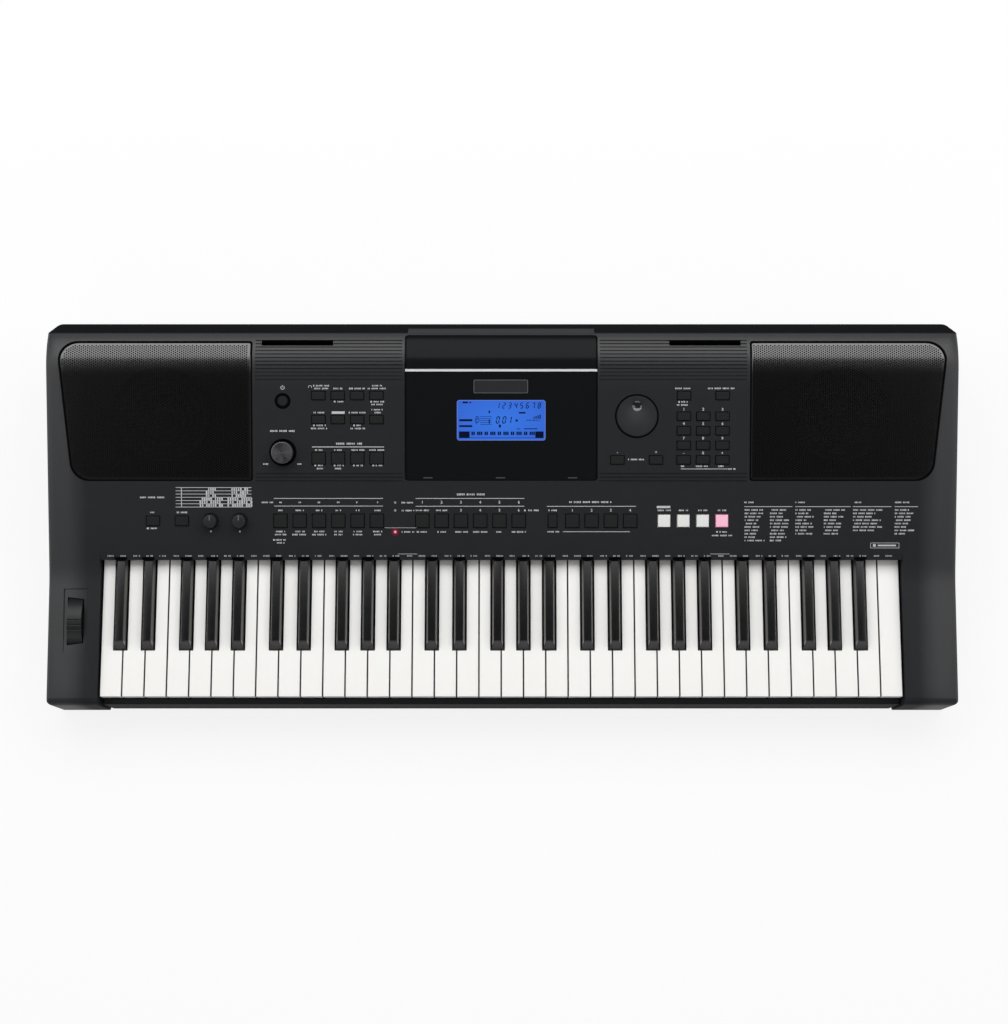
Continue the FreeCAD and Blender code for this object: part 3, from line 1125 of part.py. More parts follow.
def keybed():
    """Chassis, pivot rod, felts, contact board and contact rubbers under the keys."""
    left, right = f"(layout_shift - {FIELD_HALF})", f"(layout_shift + {FIELD_HALF})"

    def bar(name, y_low, y_high, low, high):
        return span(name, (left, y_low, low), (right, y_high, high))
    half, wall = "(felt_width / 2)", "chassis_wall"
    start, end = f"({KEY_FRONT} + white_stop - felt_width)", f"({TAIL_END} + {wall})"
    pieces = [bar("chassis_base", start, end, FLOOR, f"({FLOOR} + {wall})")]
    felts = [bar("rest_felt", f"{STOP_Y} - {half}", f"{STOP_Y} + {half}", "(key_top + seat_gap)",
                 "(key_top + seat_gap + felt_thickness)")]
    for stop in ("white_stop", "black_stop"):
        y = f"({KEY_FRONT} + {stop})"
        top = f"({KEY_BOTTOM} - ({PIVOT_Y} - {y} + {half}) * tan(key_dip) - stop_gap)"
        seat = f"({top} - felt_thickness)"
        felts.append(bar("stop_felt", f"{y} - {half}", f"{y} + {half}", seat, top))
        pieces.append(bar("stop_wall", f"{y} - {wall} / 2", f"{y} + {wall} / 2", FLOOR, seat))
        pieces.append(bar("stop_shelf", f"{y} - {half}", f"{y} + {half}", f"({seat} - {wall})", seat))
    board_front = f"({CONTACT_Y} - contact_board_depth / 2)"
    board_rear = f"({CONTACT_Y} + contact_board_depth / 2)"
    board_seat = f"({CONTACT_TOP} - board_thickness)"
    pieces.append(bar("board_rib_front", board_front, f"{board_front} + {wall}", FLOOR, board_seat))
    pieces.append(bar("board_rib_rear", f"{board_rear} - {wall}", board_rear, FLOOR, board_seat))
    rail_top = f"({KEY_BOTTOM} - 2 * stop_gap)"
    pieces.append(bar("pivot_wall", f"{PIVOT_Y} - {wall} / 2", f"{PIVOT_Y} + {wall} / 2", FLOOR, rail_top))
    pieces.append(bar("pivot_shelf", f"{PIVOT_Y} - 2 * pivot_radius", f"{PIVOT_Y} + 2 * pivot_radius",
                      f"({rail_top} - 2 * pivot_radius)", rail_top))
    groove = rod("pivot_groove", "pivot_radius", f"{WELL_WIDTH} + 2 * {wall}",
                 (f"{left} - {wall}", PIVOT_Y, KEY_BOTTOM), "x")
    node(cut("key_chassis", fuse("chassis_solid", pieces), [groove]), "key_chassis")
    pivot = rod("key_pivot_rod", "pivot_radius", f"2 * {FIELD_HALF}", (left, PIVOT_Y, KEY_BOTTOM), "x")
    node(pivot, "key_pivot_rod")
    node(group("key_felts", felts), "key_felts")
    node(bar("key_contact_board", board_front, board_rear, board_seat, CONTACT_TOP), "key_contact_board")
    centres = list(BLACK_CENTRES.values())
    for index, neighbours in enumerate(WHITE_NEIGHBOURS.values()):
        low, high = key_edges(index, neighbours)[1]
        centres.append(f"(({low} + {high}) / 2)")
    steps = sorted([0, *OCTAVES.values()])
    places = [f"{MIDDLE_X} + {step} * {OCTAVE_WIDTH} + {centre}" for step in steps for centre in centres]
    places.append(f"{right} - key_pitch / 2")
    domes = [rod("dome", "dome_radius", "dome_height", (x, CONTACT_Y, CONTACT_TOP)) for x in places]
    node(group("key_contact_rubbers", domes), "key_contact_rubbers")


def finish():
    """Recompute, check every object, and write one file for each sub-part."""
    doc.recompute()
    failed = [item.Label for item in doc.Objects if {"Invalid", "Error"} & set(item.State)]
    bad = [item.Label for item in nodes if item.Shape.isNull() or not item.Shape.isValid()]
    if failed or bad:
        raise RuntimeError(f"failed: {failed}, bad shapes: {bad}")
    os.makedirs("parts", exist_ok=True)
    for item in nodes:
        item.Shape.exportStep(f"parts/{item.Label}.step")
        print(item.Label, len(item.Shape.Solids), round(item.Shape.Volume))


upper_case()
lower_case()
battery_cover()
feet_and_screws()
speaker_grilles()
loudspeakers()
display()
panel_electronics()
main_electronics()
buttons()
knobs()
pitch_wheel()
keys()
keybed()
finish()
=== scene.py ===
# %% [markdown]
# # An arranger keyboard, dressed for the library
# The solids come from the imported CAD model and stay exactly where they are. This lesson adds what a
# solid can't show: finishes, perforated grilles, printed marks, the lit display and small inlays.
# Everything shares one frame: +X to the player's right, +Y to the rear, +Z up. Sizes are written in
# millimetres, because that is how the panel was measured, and turned into metres when a mesh is made.

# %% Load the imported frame
import json
import math

import bpy
import numpy as np
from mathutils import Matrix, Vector


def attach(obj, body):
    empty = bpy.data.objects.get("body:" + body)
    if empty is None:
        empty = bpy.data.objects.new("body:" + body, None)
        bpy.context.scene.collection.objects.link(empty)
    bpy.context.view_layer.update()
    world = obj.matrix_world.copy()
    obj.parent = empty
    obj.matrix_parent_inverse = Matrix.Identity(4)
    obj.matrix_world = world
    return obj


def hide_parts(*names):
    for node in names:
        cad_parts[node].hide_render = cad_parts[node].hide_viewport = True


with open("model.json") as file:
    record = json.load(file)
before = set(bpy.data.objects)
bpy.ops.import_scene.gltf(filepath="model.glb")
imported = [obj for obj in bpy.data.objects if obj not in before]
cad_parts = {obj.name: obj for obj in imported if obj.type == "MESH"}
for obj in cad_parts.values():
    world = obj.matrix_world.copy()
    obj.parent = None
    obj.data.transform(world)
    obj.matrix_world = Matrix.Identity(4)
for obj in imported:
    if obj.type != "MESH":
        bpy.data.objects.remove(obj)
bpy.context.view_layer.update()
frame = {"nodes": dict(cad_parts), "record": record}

MM = 0.001
SIDES = ((-1, "left"), (1, "right"))
nodes = frame["nodes"]

# %% [markdown]
# ## The camera
# The photograph looks down on the keyboard from ten degrees in front of straight above, from about two
# metres away. A camera could be placed by eye and nudged, but here its tilt, distance and focal length
# were worked out from the spacing of the keys, so the render falls on the photograph. The picture is
# taller than it is wide, and the sensor's width then stands for the tall side.

# %% Camera
VIEW_TILT = math.radians(10)
VIEW_DISTANCE = 2118
FOCAL_PIXELS, TALL_SIDE = 2018, 1024
view_target = np.array([1.7, 0, 80])
camera_data = bpy.data.cameras.new("photo_camera")
camera_data.sensor_width = 36
camera_data.lens = camera_data.sensor_width * FOCAL_PIXELS / TALL_SIDE
camera = bpy.data.objects.new("photo_camera", camera_data)
view_back = np.array([0, -math.sin(VIEW_TILT), math.cos(VIEW_TILT)])
camera.location = (view_target + VIEW_DISTANCE * view_back) * MM
camera.rotation_euler = (VIEW_TILT, 0, 0)
scene = bpy.context.scene
scene.collection.objects.link(camera)
scene.camera = camera
scene.view_settings.view_transform = "Standard"
print("camera at", [round(place, 3) for place in camera.location], "lens", round(camera_data.lens, 2))

# %% [markdown]
# ## Studio light
# A dark instrument is drawn by what it mirrors. The photograph shows a bright band on the brow, which
# leans away from the player, so a long softbox hangs behind and above it. Two side softboxes lift the
# sloping outer faces of the end blocks, a weak one in front keeps the front from going black, and an
# even grey sky fills the rest. A softbox is given by its radiance, because that is what a glossy
# surface shows, and its power follows from its area.

# %% Softboxes and sky
SKY_STRENGTH = 0.13


def softbox(name, centre, aim, width, height, radiance):
    """A rectangular lamp that faces a point: a flat source of power P and area A has radiance P / (pi A)."""
    lamp = bpy.data.lights.new(name, "AREA")
    lamp.shape = "RECTANGLE"
    lamp.size, lamp.size_y = width, height
    lamp.energy = radiance * math.pi * width * height
    thing = bpy.data.objects.new(name, lamp)
    thing.location = centre
    way = Vector(aim) - thing.location
    thing.rotation_euler = way.to_track_quat("-Z", "Y").to_euler()
    scene.collection.objects.link(thing)


softbox("rear_softbox", (0, 1.13, 1.88), (0, 0.16, 0.13), 3.2, 1.5, 2.9)
for side, word in SIDES:
    softbox(f"{word}_softbox", (1.75 * side, 0.1, 1.7), (0.2 * side, 0, 0.1), 1.3, 1.9, 1.45)
softbox("front_softbox", (0, -2.1, 1.3), (0, 0, 0.1), 2.4, 0.9, 1.6)
sky = bpy.data.worlds.new("studio_sky")
sky.use_nodes = True
background = sky.node_tree.nodes["Background"]
background.inputs["Color"].default_value = (1, 1, 1, 1)
background.inputs["Strength"].default_value = SKY_STRENGTH
scene.world = sky

# %% [markdown]
# ## Shader nodes in few lines
# Every finish below is a node tree. One small helper adds a node, sets its properties and connects its
# inputs, and a few shorter ones give the result of a sum, a ramp or a mix, so that a material reads like a
# recipe. Colours are picked on a screen, from 0 to 255, and turned into the linear values that shaders add
# and multiply.

# %% Node helpers
def shade(red, green, blue):
    """A screen colour as linear light: c / 12.92 near black, otherwise ((c + 0.055) / 1.055) to the 2.4."""
    picked = np.array([red, green, blue]) / 255
    linear = np.where(picked <= 0.04045, picked / 12.92, ((picked + 0.055) / 1.055) ** 2.4)
    return (*linear.tolist(), 1.0)


def add(tree, kind, inputs=None, **settings):
    """One shader node, with constants or other nodes' outputs on its inputs."""
    made = tree.nodes.new("ShaderNode" + kind)
    for name, value in settings.items():
        setattr(made, name, value)
    connect(tree, made, inputs or {})
    return made


def connect(tree, made, inputs):
    """Links outputs, and writes constants, to the named or numbered inputs of a node."""
    for name, value in inputs.items():
        if isinstance(value, bpy.types.NodeSocket):
            tree.links.new(value, made.inputs[name])
        else:
            made.inputs[name].default_value = value


def new_material(name):
    """An empty material, kept under its name: its tree, its shader, and the Object coordinates."""
    material = bpy.data.materials.new(name)
    finishes[name] = material
    material.use_nodes = True
    tree = material.node_tree
    return material, tree, tree.nodes["Principled BSDF"], add(tree, "TexCoord").outputs["Object"]


def opened(material):
    """A finish to add to: its tree, its shader, and what its base colour comes from."""
    shader = material.node_tree.nodes["Principled BSDF"]
    return material.node_tree, shader, shader.inputs["Base Color"].links[0].from_socket


finishes = {}
CASE_GREY = shade(35, 36, 38)
print("case grey in linear light", [round(part, 4) for part in CASE_GREY[:3]])

# %% Sums, ramps and mixes
def maths(tree, operation, *values, clamp=False):
    """The result of one sum on numbers or outputs, such as ADD or LESS_THAN."""
    return add(tree, "Math", dict(enumerate(values)), operation=operation, use_clamp=clamp).outputs[0]


def product(tree, first, *others):
    """Numbers multiplied with one another, the way masks are joined."""
    for other in others:
        first = maths(tree, "MULTIPLY", first, other)
    return first


def scaled(tree, vector, factor):
    """A colour or a place times a number."""
    return add(tree, "VectorMath", {0: vector, "Scale": factor}, operation="SCALE").outputs[0]


def length(tree, vector):
    """How far a place is from the origin."""
    return add(tree, "VectorMath", {0: vector}, operation="LENGTH").outputs["Value"]


def moved(tree, vector, location=(0, 0, 0), stretch=(1, 1, 1)):
    """A place stretched, and then shifted."""
    return add(tree, "Mapping", {"Vector": vector, "Location": location, "Scale": stretch}).outputs[0]


def ramp(tree, value, low, high, start=0.0, end=1.0, kind="LINEAR"):
    """A value that goes from start to end while its source goes from low to high."""
    limits = {"Value": value, "From Min": low, "From Max": high, "To Min": start, "To Max": end}
    return add(tree, "MapRange", limits, interpolation_type=kind).outputs[0]


def mixed(tree, amount, low, high):
    """Two numbers mixed by an amount."""
    return add(tree, "Mix", {0: amount, 2: low, 3: high}).outputs[0]


def blend(tree, amount, low, high, blend_type="MIX"):
    """Two colours mixed by an amount."""
    return add(tree, "Mix", {0: amount, 6: low, 7: high}, data_type="RGBA", blend_type=blend_type).outputs[2]


def noise(tree, vector, scale, detail=2.0):
    """Cloudy values round a half, with that many cells to the unit."""
    return add(tree, "TexNoise", {"Vector": vector, "Scale": scale, "Detail": detail}).outputs[0]


def bricks(tree, vector, scale, one, other, mortar):
    """A brick texture of three greys: two for the bricks and one for the thin lines between them."""
    named = zip(("Color1", "Color2", "Mortar"), (one, other, mortar))
    greys = {name: (grey, grey, grey, 1) for name, grey in named}
    tiles = add(tree, "TexBrick", {"Vector": vector, "Scale": scale, "Mortar Size": 0.03, **greys})
    return tiles.outputs["Color"]


def bump(tree, height, depth):
    """A normal tilted by a height, whose relief is that many mm deep."""
    return add(tree, "Bump", {"Height": height, "Distance": depth * MM}).outputs[0]


def by_axis(tree, kind):
    """X, Y and Z of the Object coordinates, in mm, or of the Normal."""
    vector = tree.nodes["Texture Coordinate"].outputs[kind]
    if kind == "Object":
        vector = scaled(tree, vector, 1 / MM)
    return tuple(add(tree, "SeparateXYZ", {0: vector}).outputs)


print("helpers for sums:", [helper.__name__ for helper in (maths, product, ramp, mixed, blend, noise, bump)])

# %% [markdown]
# ## The floor
# The photograph's ground is plain white. The floor is a wide sheet of white paper that still takes the
# keyboard's shadow. Where the camera, a mirror or glass looks at it, part of its light comes from the
# paper itself, so the ground stays white without more light on the object. From below the sheet is clear,
# so that the underside can be looked at.

# %% White floor
FLOOR_HALF, PAPER_GLOW = 30, 0.84
floor_mesh = bpy.data.meshes.new("floor")
floor_corners = [(-FLOOR_HALF, -FLOOR_HALF, 0), (FLOOR_HALF, -FLOOR_HALF, 0), (FLOOR_HALF, FLOOR_HALF, 0),
                 (-FLOOR_HALF, FLOOR_HALF, 0)]
floor_mesh.from_pydata(floor_corners, [], [(0, 1, 2, 3)])
floor = bpy.data.objects.new("floor", floor_mesh)
scene.collection.objects.link(floor)
paper, tree, shader, where = new_material("white_paper")
connect(tree, shader, {"Base Color": shade(246, 246, 246), "Roughness": 0.9, "Specular IOR Level": 0.0,
                       "Normal": bump(tree, noise(tree, where, 900.0), 0.05)})
ray = add(tree, "LightPath").outputs
seen = maths(tree, "MAXIMUM", ray["Is Camera Ray"], ray["Is Glossy Ray"])
seen = maths(tree, "MAXIMUM", seen, ray["Is Transmission Ray"])
glow = add(tree, "Emission", {"Color": (1, 1, 1, 1), "Strength": 1.0}).outputs[0]
above = add(tree, "MixShader", {0: product(tree, seen, PAPER_GLOW), 1: shader.outputs[0], 2: glow}).outputs[0]
under = add(tree, "NewGeometry").outputs["Backfacing"]
clear = add(tree, "BsdfTransparent").outputs[0]
surface = add(tree, "MixShader", {0: under, 1: above, 2: clear}).outputs[0]
connect(tree, tree.nodes["Material Output"], {"Surface": surface})
floor_mesh.materials.append(paper)

# %% [markdown]
# ## Placing things on the panel
# All printed marks lie on the control panel, a plane that rises 13.4 degrees to the rear. A point of it is
# given by its offset from the panel's middle, its row from the panel's front edge, and its height above the
# surface. Behind the panel the case bends over the brow, an arc that the panel's line touches. At the sides
# the grilles end at a slanting crease.

# %% Panel, brow and grilles in numbers
SLOPE = math.radians(13.4)
PANEL_X, PANEL_Y, PANEL_Z = -1.2, -45.0, 94.3
BROW_Y, BROW_RADIUS = 154.0, 60.0
TOUCH_Y = BROW_Y - BROW_RADIUS * math.sin(SLOPE)
BROW_Z = PANEL_Z + (TOUCH_Y - PANEL_Y) * math.tan(SLOPE) - BROW_RADIUS * math.cos(SLOPE)
CASE_HALF, CASE_FRONT = 473, -202
CREASE_FRONT, CREASE_RISE, CREASE_RUN = 49, 40, 380.5
GRILLE_REAR, GRILLE_DEPTH, GRILLE_INNER, GRILLE_RIM = 169.7, 142.7, 257.3, 1.5


def on_panel(x, row, height):
    """Panel coordinates to the frame: the row runs up the slope, the height stands square to it."""
    x, row, height = np.broadcast_arrays(x, row, height)
    y = PANEL_Y + row * math.cos(SLOPE) - height * math.sin(SLOPE)
    z = PANEL_Z + row * math.sin(SLOPE) + height * math.cos(SLOPE)
    return np.stack([PANEL_X + x, y, z], -1)


def skin_height(y, inset):
    """Height of the case's skin at depth y: the panel's line, then the brow's arc, both an inset lower."""
    line = PANEL_Z + (y - PANEL_Y) * math.tan(SLOPE) - inset / math.cos(SLOPE)
    radius = BROW_RADIUS - inset
    arc = BROW_Z + np.sqrt(np.maximum(radius ** 2 - (y - BROW_Y) ** 2, 0))
    return np.where(y < BROW_Y - radius * math.sin(SLOPE), line, arc)


def grille_reach(y):
    """How far out a grille's opening reaches at depth y, where the crease slants in to the front."""
    return CASE_HALF - (CREASE_FRONT - CREASE_RISE * (y - CASE_FRONT) / CREASE_RUN) - GRILLE_RIM


print("brow axis at height", round(BROW_Z, 2), "and crest", round(BROW_Z + BROW_RADIUS, 2))

# %% [markdown]
# ## Moulded grain, a shared effect
# Plastic and rubber leave the mould with a fine spark-eroded texture, and no two square centimetres have
# quite the same gloss. One node group gives all such finishes their tint, roughness and relief, and each
# material sets the size and depth of its own grain. A fine noise is the grain, and a cloudy one, sixteen
# times larger, is the uneven gloss.

# %% Grain group
def sockets(tree, side, named):
    """Adds sockets, given as name and kind, to one side of a node group."""
    for name, kind in named:
        tree.interface.new_socket(name, in_out=side, socket_type="NodeSocket" + kind)


grain_tree = bpy.data.node_groups.new("moulded_grain", "ShaderNodeTree")
sockets(grain_tree, "INPUT", [("Vector", "Vector"), ("Colour", "Color"), ("Cells", "Float"),
                              ("Mottle", "Float"), ("Roughness", "Float"), ("Spread", "Float")])
sockets(grain_tree, "OUTPUT", [("Colour", "Color"), ("Roughness", "Float"), ("Height", "Float")])
given = grain_tree.nodes.new("NodeGroupInput").outputs
fine = noise(grain_tree, given["Vector"], given["Cells"])
cloud = noise(grain_tree, given["Vector"], product(grain_tree, given["Cells"], 1 / 16), 4.0)
swing = maths(grain_tree, "SUBTRACT", maths(grain_tree, "ADD", fine, cloud), 1.0)
gain = maths(grain_tree, "MULTIPLY_ADD", swing, given["Mottle"], 1.0)
rough = maths(grain_tree, "MULTIPLY_ADD", swing, given["Spread"], given["Roughness"], clamp=True)
tint = scaled(grain_tree, given["Colour"], gain)
result = grain_tree.nodes.new("NodeGroupOutput")
connect(grain_tree, result, {"Colour": tint, "Roughness": rough, "Height": fine})


def moulded(name, colour, roughness, cells, mottle, depth, spread=0.1, specular=0.5, constants=None):
    """A grained finish: the group tints the shader, varies its roughness and raises a bump, deep in mm."""
    material, tree, shader, where = new_material(name)
    grain = tree.nodes.new("ShaderNodeGroup")
    grain.node_tree = grain_tree
    connect(tree, grain, {"Vector": where, "Colour": colour, "Cells": cells, "Mottle": mottle,
                          "Roughness": roughness, "Spread": spread})
    connect(tree, shader, {"Base Color": grain.outputs["Colour"], "Roughness": grain.outputs["Roughness"],
                           "Normal": bump(tree, grain.outputs["Height"], depth),
                           "Specular IOR Level": specular, **(constants or {})})
    return material


print("grain group:", len(grain_tree.nodes), "nodes")

# %% [markdown]
# ## The case's plastic
# The upper and lower case are dark grey plastic with a fine matt grain. On the brow the tool was
# polished a little more, so the softbox shows there as a soft band, while the rear slope stays quite
# matt, and its upward faces are painted darker, as painted shade. The end blocks, which hands rub, shine
# a little more than the panel. The matt body is the base of the shader, and a coat, whose weight follows
# the place on the case, carries the sheen. The grooves across the brow stay matt, and painted shade
# darkens them: a point nearer to the brow's axis than its skin is in one. Painted shade darkens the
# recesses under the two grilles too, so that only the perforated sheet is seen.

# %% Sheen of the case
LEDGE_HALF, LEDGE_DEPTH = 96.7, 5.4
BROW_SHEEN, END_SHEEN, SLOPE_EDGE, FRONT_EDGE = (115, 165), (418, 455), (178.2, 179.4), (-200, -195)
TURNED_AWAY = 0.75
case_plastic = moulded("case_plastic", CASE_GREY, 0.62, 1400.0, 0.16, 0.012, specular=0.0,
                       constants={"Coat Roughness": 0.42})
tree, shader, grained = opened(case_plastic)
x, y, z = by_axis(tree, "Object")
reach = maths(tree, "ABSOLUTE", x)
off_middle = maths(tree, "ABSOLUTE", maths(tree, "SUBTRACT", x, PANEL_X))
rise = ramp(tree, y, *BROW_SHEEN, 0.3, 1.0, "SMOOTHSTEP")
ends = ramp(tree, reach, *END_SHEEN, kind="SMOOTHSTEP")
shiny = maths(tree, "MAXIMUM", rise, ends)
ledge = maths(tree, "LESS_THAN", off_middle, LEDGE_HALF)
behind = maths(tree, "MULTIPLY_ADD", ledge, -LEDGE_DEPTH, y)
normal_x, _, normal_z = by_axis(tree, "Normal")
sideways = maths(tree, "ABSOLUTE", normal_x)
turned_away = maths(tree, "MAXIMUM", sideways, product(tree, normal_z, -1.0))
turned_away = maths(tree, "GREATER_THAN", turned_away, TURNED_AWAY)
off_slope = maths(tree, "MAXIMUM", ramp(tree, behind, *SLOPE_EDGE, 1.0, 0.0), turned_away)
front = ramp(tree, y, *FRONT_EDGE, 0.5, 1.0)
print("case plastic so far:", len(tree.nodes), "nodes")

# %% Grooves and recesses of the case
GROOVED_HALF, GROOVED_Y, GROOVED_DEPTH = 255.5, 159, 18.8
RECESS_LOW, RECESS_SHADE = 1.06, 0.4
from_axis = add(tree, "CombineXYZ", {"Y": maths(tree, "SUBTRACT", y, BROW_Y),
                                     "Z": maths(tree, "SUBTRACT", z, BROW_Z)})
brow_reach = length(tree, from_axis.outputs[0])
# Painted shade: the brow's grooves are given a darker colour and a weaker coat.
groove_shade = ramp(tree, brow_reach, BROW_RADIUS - 0.7, BROW_RADIUS - 0.3, 0.52, 1.0)
on_brow = product(tree, maths(tree, "LESS_THAN", off_middle, GROOVED_HALF),
                  maths(tree, "COMPARE", y, GROOVED_Y, GROOVED_DEPTH))
over_panel = maths(tree, "MULTIPLY_ADD", y, -math.sin(SLOPE), product(tree, z, math.cos(SLOPE)))
panel_level = PANEL_Z * math.cos(SLOPE) - PANEL_Y * math.sin(SLOPE)
below_brow = maths(tree, "MAXIMUM", maths(tree, "LESS_THAN", brow_reach, BROW_RADIUS - 1.2),
                   maths(tree, "LESS_THAN", y, TOUCH_Y))
slanting = maths(tree, "MULTIPLY_ADD", y, -CREASE_RISE / CREASE_RUN, reach)
# Painted shade: the recesses under the grilles are given a darker colour.
recess = product(tree, below_brow, maths(tree, "LESS_THAN", over_panel, panel_level - RECESS_LOW),
                 maths(tree, "LESS_THAN", slanting, grille_reach(0)),
                 maths(tree, "GREATER_THAN", reach, GRILLE_INNER - 1.3),
                 maths(tree, "COMPARE", y, GRILLE_REAR - GRILLE_DEPTH / 2, GRILLE_DEPTH / 2 + 0.45))
groove_recess_shade = mixed(tree, recess, mixed(tree, on_brow, 1.0, groove_shade), RECESS_SHADE)
# Painted shade: upward faces of the rear slope are given a darker colour.
slope_shade = blend(tree, off_slope, scaled(tree, grained, 0.62), grained)
connect(tree, shader, {"Coat Weight": product(tree, shiny, off_slope, front, groove_recess_shade),
                       "Base Color": scaled(tree, slope_shade, groove_recess_shade)})
print("case plastic:", len(tree.nodes), "nodes")

# %% [markdown]
# ## Rubber, keys and knobs
# Panel buttons are soft dark rubber, only a shade from the case. White keys are polished plastic with a
# faint warm tint, and their sides are painted darker as painted shade from the neighbouring keys. Black
# keys are satin with a polished front, which a coat on the front facet gives. The four mode buttons are
# pale and lit from below: the one at the right glows pink, which a mask on the X coordinate gives,
# because all four are one CAD node.

# %% Rubber, key and knob finishes
FLANK_SHADE, FACET, LIT_FROM = (0.6, 0.95), (-137.5, -135.8), 217.8
moulded("button_rubber", shade(23, 24, 25), 0.7, 2200.0, 0.14, 0.01, specular=0.22)
moulded("wheel_plastic", shade(24, 25, 27), 0.42, 1500.0, 0.14, 0.01, specular=0.35)
knob_plastic = moulded("knob_plastic", shade(29, 30, 32), 0.45, 1700.0, 0.12, 0.008, specular=0.35)
moulded("knob_metal", shade(92, 92, 96), 0.34, 1900.0, 0.1, 0.004, constants={"Metallic": 1.0})
white_key = moulded("white_key", shade(252, 251, 248), 0.2, 420.0, 0.018, 0.003, 0.12,
                    constants={"Coat Weight": 0.25, "Coat Roughness": 0.08, "Subsurface Weight": 0.06,
                               "Subsurface Radius": (0.002, 0.0018, 0.0016), "Subsurface Scale": 1.0})
tree, shader, polished = opened(white_key)
# Painted shade: faces turned sideways are given a darker colour.
shaded_flank = maths(tree, "ABSOLUTE", by_axis(tree, "Normal")[0])
connect(tree, shader, {"Base Color": scaled(tree, polished, ramp(tree, shaded_flank, *FLANK_SHADE, 1.0, 0.25))})
black_key = moulded("black_key", shade(12, 12, 13), 0.22, 1600.0, 0.16, 0.004, specular=0.36,
                    constants={"Coat Roughness": 0.22})
tree, shader, _ = opened(black_key)
connect(tree, shader, {"Coat Weight": ramp(tree, by_axis(tree, "Object")[1], *FACET, 0.9, 0.0)})
button_white = moulded("button_white", shade(224, 224, 222), 0.45, 900.0, 0.02, 0.006)
tree, shader, plain = opened(button_white)
lit = maths(tree, "GREATER_THAN", by_axis(tree, "Object")[0], LIT_FROM)
connect(tree, shader, {"Base Color": blend(tree, lit, plain, shade(240, 186, 206)), "Emission Strength": 1.0,
                       "Emission Color": blend(tree, lit, (0.03, 0.03, 0.03, 1), shade(96, 50, 68))})
print("panel finishes:", sorted(finishes))

# %% [markdown]
# ## Display finishes
# The display sits behind one large piece of black acrylic. Acrylic shows a mirror-like coat over a deep
# black, with the faintest cast of colour. The strip let into it is silver paint, brushed along its
# length by a noise that is stretched in X. The paint stops short of the strip's two long edges.

# %% Display finishes
ACRYLIC = shade(18, 20, 21)
TRIM_Y, TRIM_HALF = 138.5, 1.18
moulded("display_gloss", ACRYLIC, 0.16, 300.0, 0.1, 0.0004, 0.06, 0.07)
moulded("display_glass", shade(10, 14, 28), 0.1, 300.0, 0.08, 0.0003, 0.05)


def brushed(name, colour, roughness, stretch, metallic):
    """A finish brushed along one axis: noise cells are long where the stretch is small."""
    material, tree, shader, where = new_material(name)
    hair = noise(tree, moved(tree, where, stretch=stretch), 1.0, 3.0)
    light = (*(min(part * 1.12, 1) for part in colour[:3]), 1.0)
    dark = (*(part * 0.86 for part in colour[:3]), 1.0)
    connect(tree, shader, {"Base Color": blend(tree, hair, dark, light), "Metallic": metallic,
                           "Roughness": ramp(tree, hair, 0, 1, roughness - 0.08, roughness + 0.08),
                           "Normal": bump(tree, hair, 0.004)})
    return material


display_trim = brushed("display_trim", shade(226, 227, 229), 0.34, (40, 5000, 5000), 0.25)
tree, shader, silver = opened(display_trim)
painted = maths(tree, "COMPARE", by_axis(tree, "Object")[1], TRIM_Y, TRIM_HALF)
connect(tree, shader, {"Base Color": blend(tree, painted, ACRYLIC, silver)})
brushed("steel", shade(150, 151, 154), 0.3, (300, 300, 6000), 1.0)
print("display finishes:", [name for name in finishes if name.startswith("display")])

# %% [markdown]
# ## Inner finishes
# The loudspeakers, boards and the key mechanism are seldom seen, but the part can be opened in another
# scene, so they get honest materials too: ribbed paper cones, felt with fibres, a green board with
# copper lines, dark ferrite and pressed steel.

# %% Inner finishes
def patterned(name, low, high, factor, roughness, height=None, depth=0.05, constants=None):
    """Two colours mixed by a pattern made in the material's own tree, with that or another one as relief."""
    material, tree, shader, where = new_material(name)
    amount = factor(tree, where)
    raised = height(tree, where) if height else amount
    connect(tree, shader, {"Base Color": blend(tree, amount, low, high), "Roughness": roughness,
                           "Normal": bump(tree, raised, depth), **(constants or {})})


def fibre_noise(scale):
    """A function that adds a many-layered noise with that many cells to the metre."""
    return lambda tree, where: noise(tree, where, scale, 6.0)


def copper_lines(tree, where):
    """Thin lines between bricks of a brick texture, as a mask."""
    return bricks(tree, where, 120.0, 0.0, 0.1, 1.0)


def cone_rings(tree, where):
    """Rings round each cone's axis: the sine of the distance from it, with X folded onto one side."""
    folded = add(tree, "VectorMath", {0: where}, operation="ABSOLUTE").outputs[0]
    centred = moved(tree, folded, (-0.352, -0.093, 0), (1, 1, 0))
    waves = add(tree, "TexWave", {"Vector": centred, "Scale": 40.0}, wave_type="RINGS",
                rings_direction="SPHERICAL")
    return waves.outputs["Fac"]


brushed("speaker_steel", shade(70, 71, 73), 0.45, (500, 500, 500), 1.0)
patterned("speaker_paper", shade(22, 22, 22), shade(38, 37, 36), cone_rings, 0.85, fibre_noise(3000.0), 0.04)
moulded("magnet", shade(40, 40, 42), 0.6, 1800.0, 0.25, 0.02)
patterned("board", shade(18, 62, 40), shade(120, 96, 52), copper_lines, 0.45)
patterned("felt", shade(88, 22, 26), shade(122, 40, 42), fibre_noise(5000.0), 0.95, depth=0.15,
          constants={"Sheen Weight": 0.4})
moulded("switch_plastic", shade(30, 30, 31), 0.5, 1500.0, 0.12, 0.006)
moulded("chassis_plastic", shade(52, 52, 54), 0.6, 1200.0, 0.12, 0.01)
moulded("cover_plastic", shade(37, 38, 40), 0.6, 1400.0, 0.16, 0.012, specular=0.3)
moulded("rubber", shade(26, 26, 27), 0.8, 1800.0, 0.2, 0.02, specular=0.3)
print("finishes so far:", sorted(finishes))

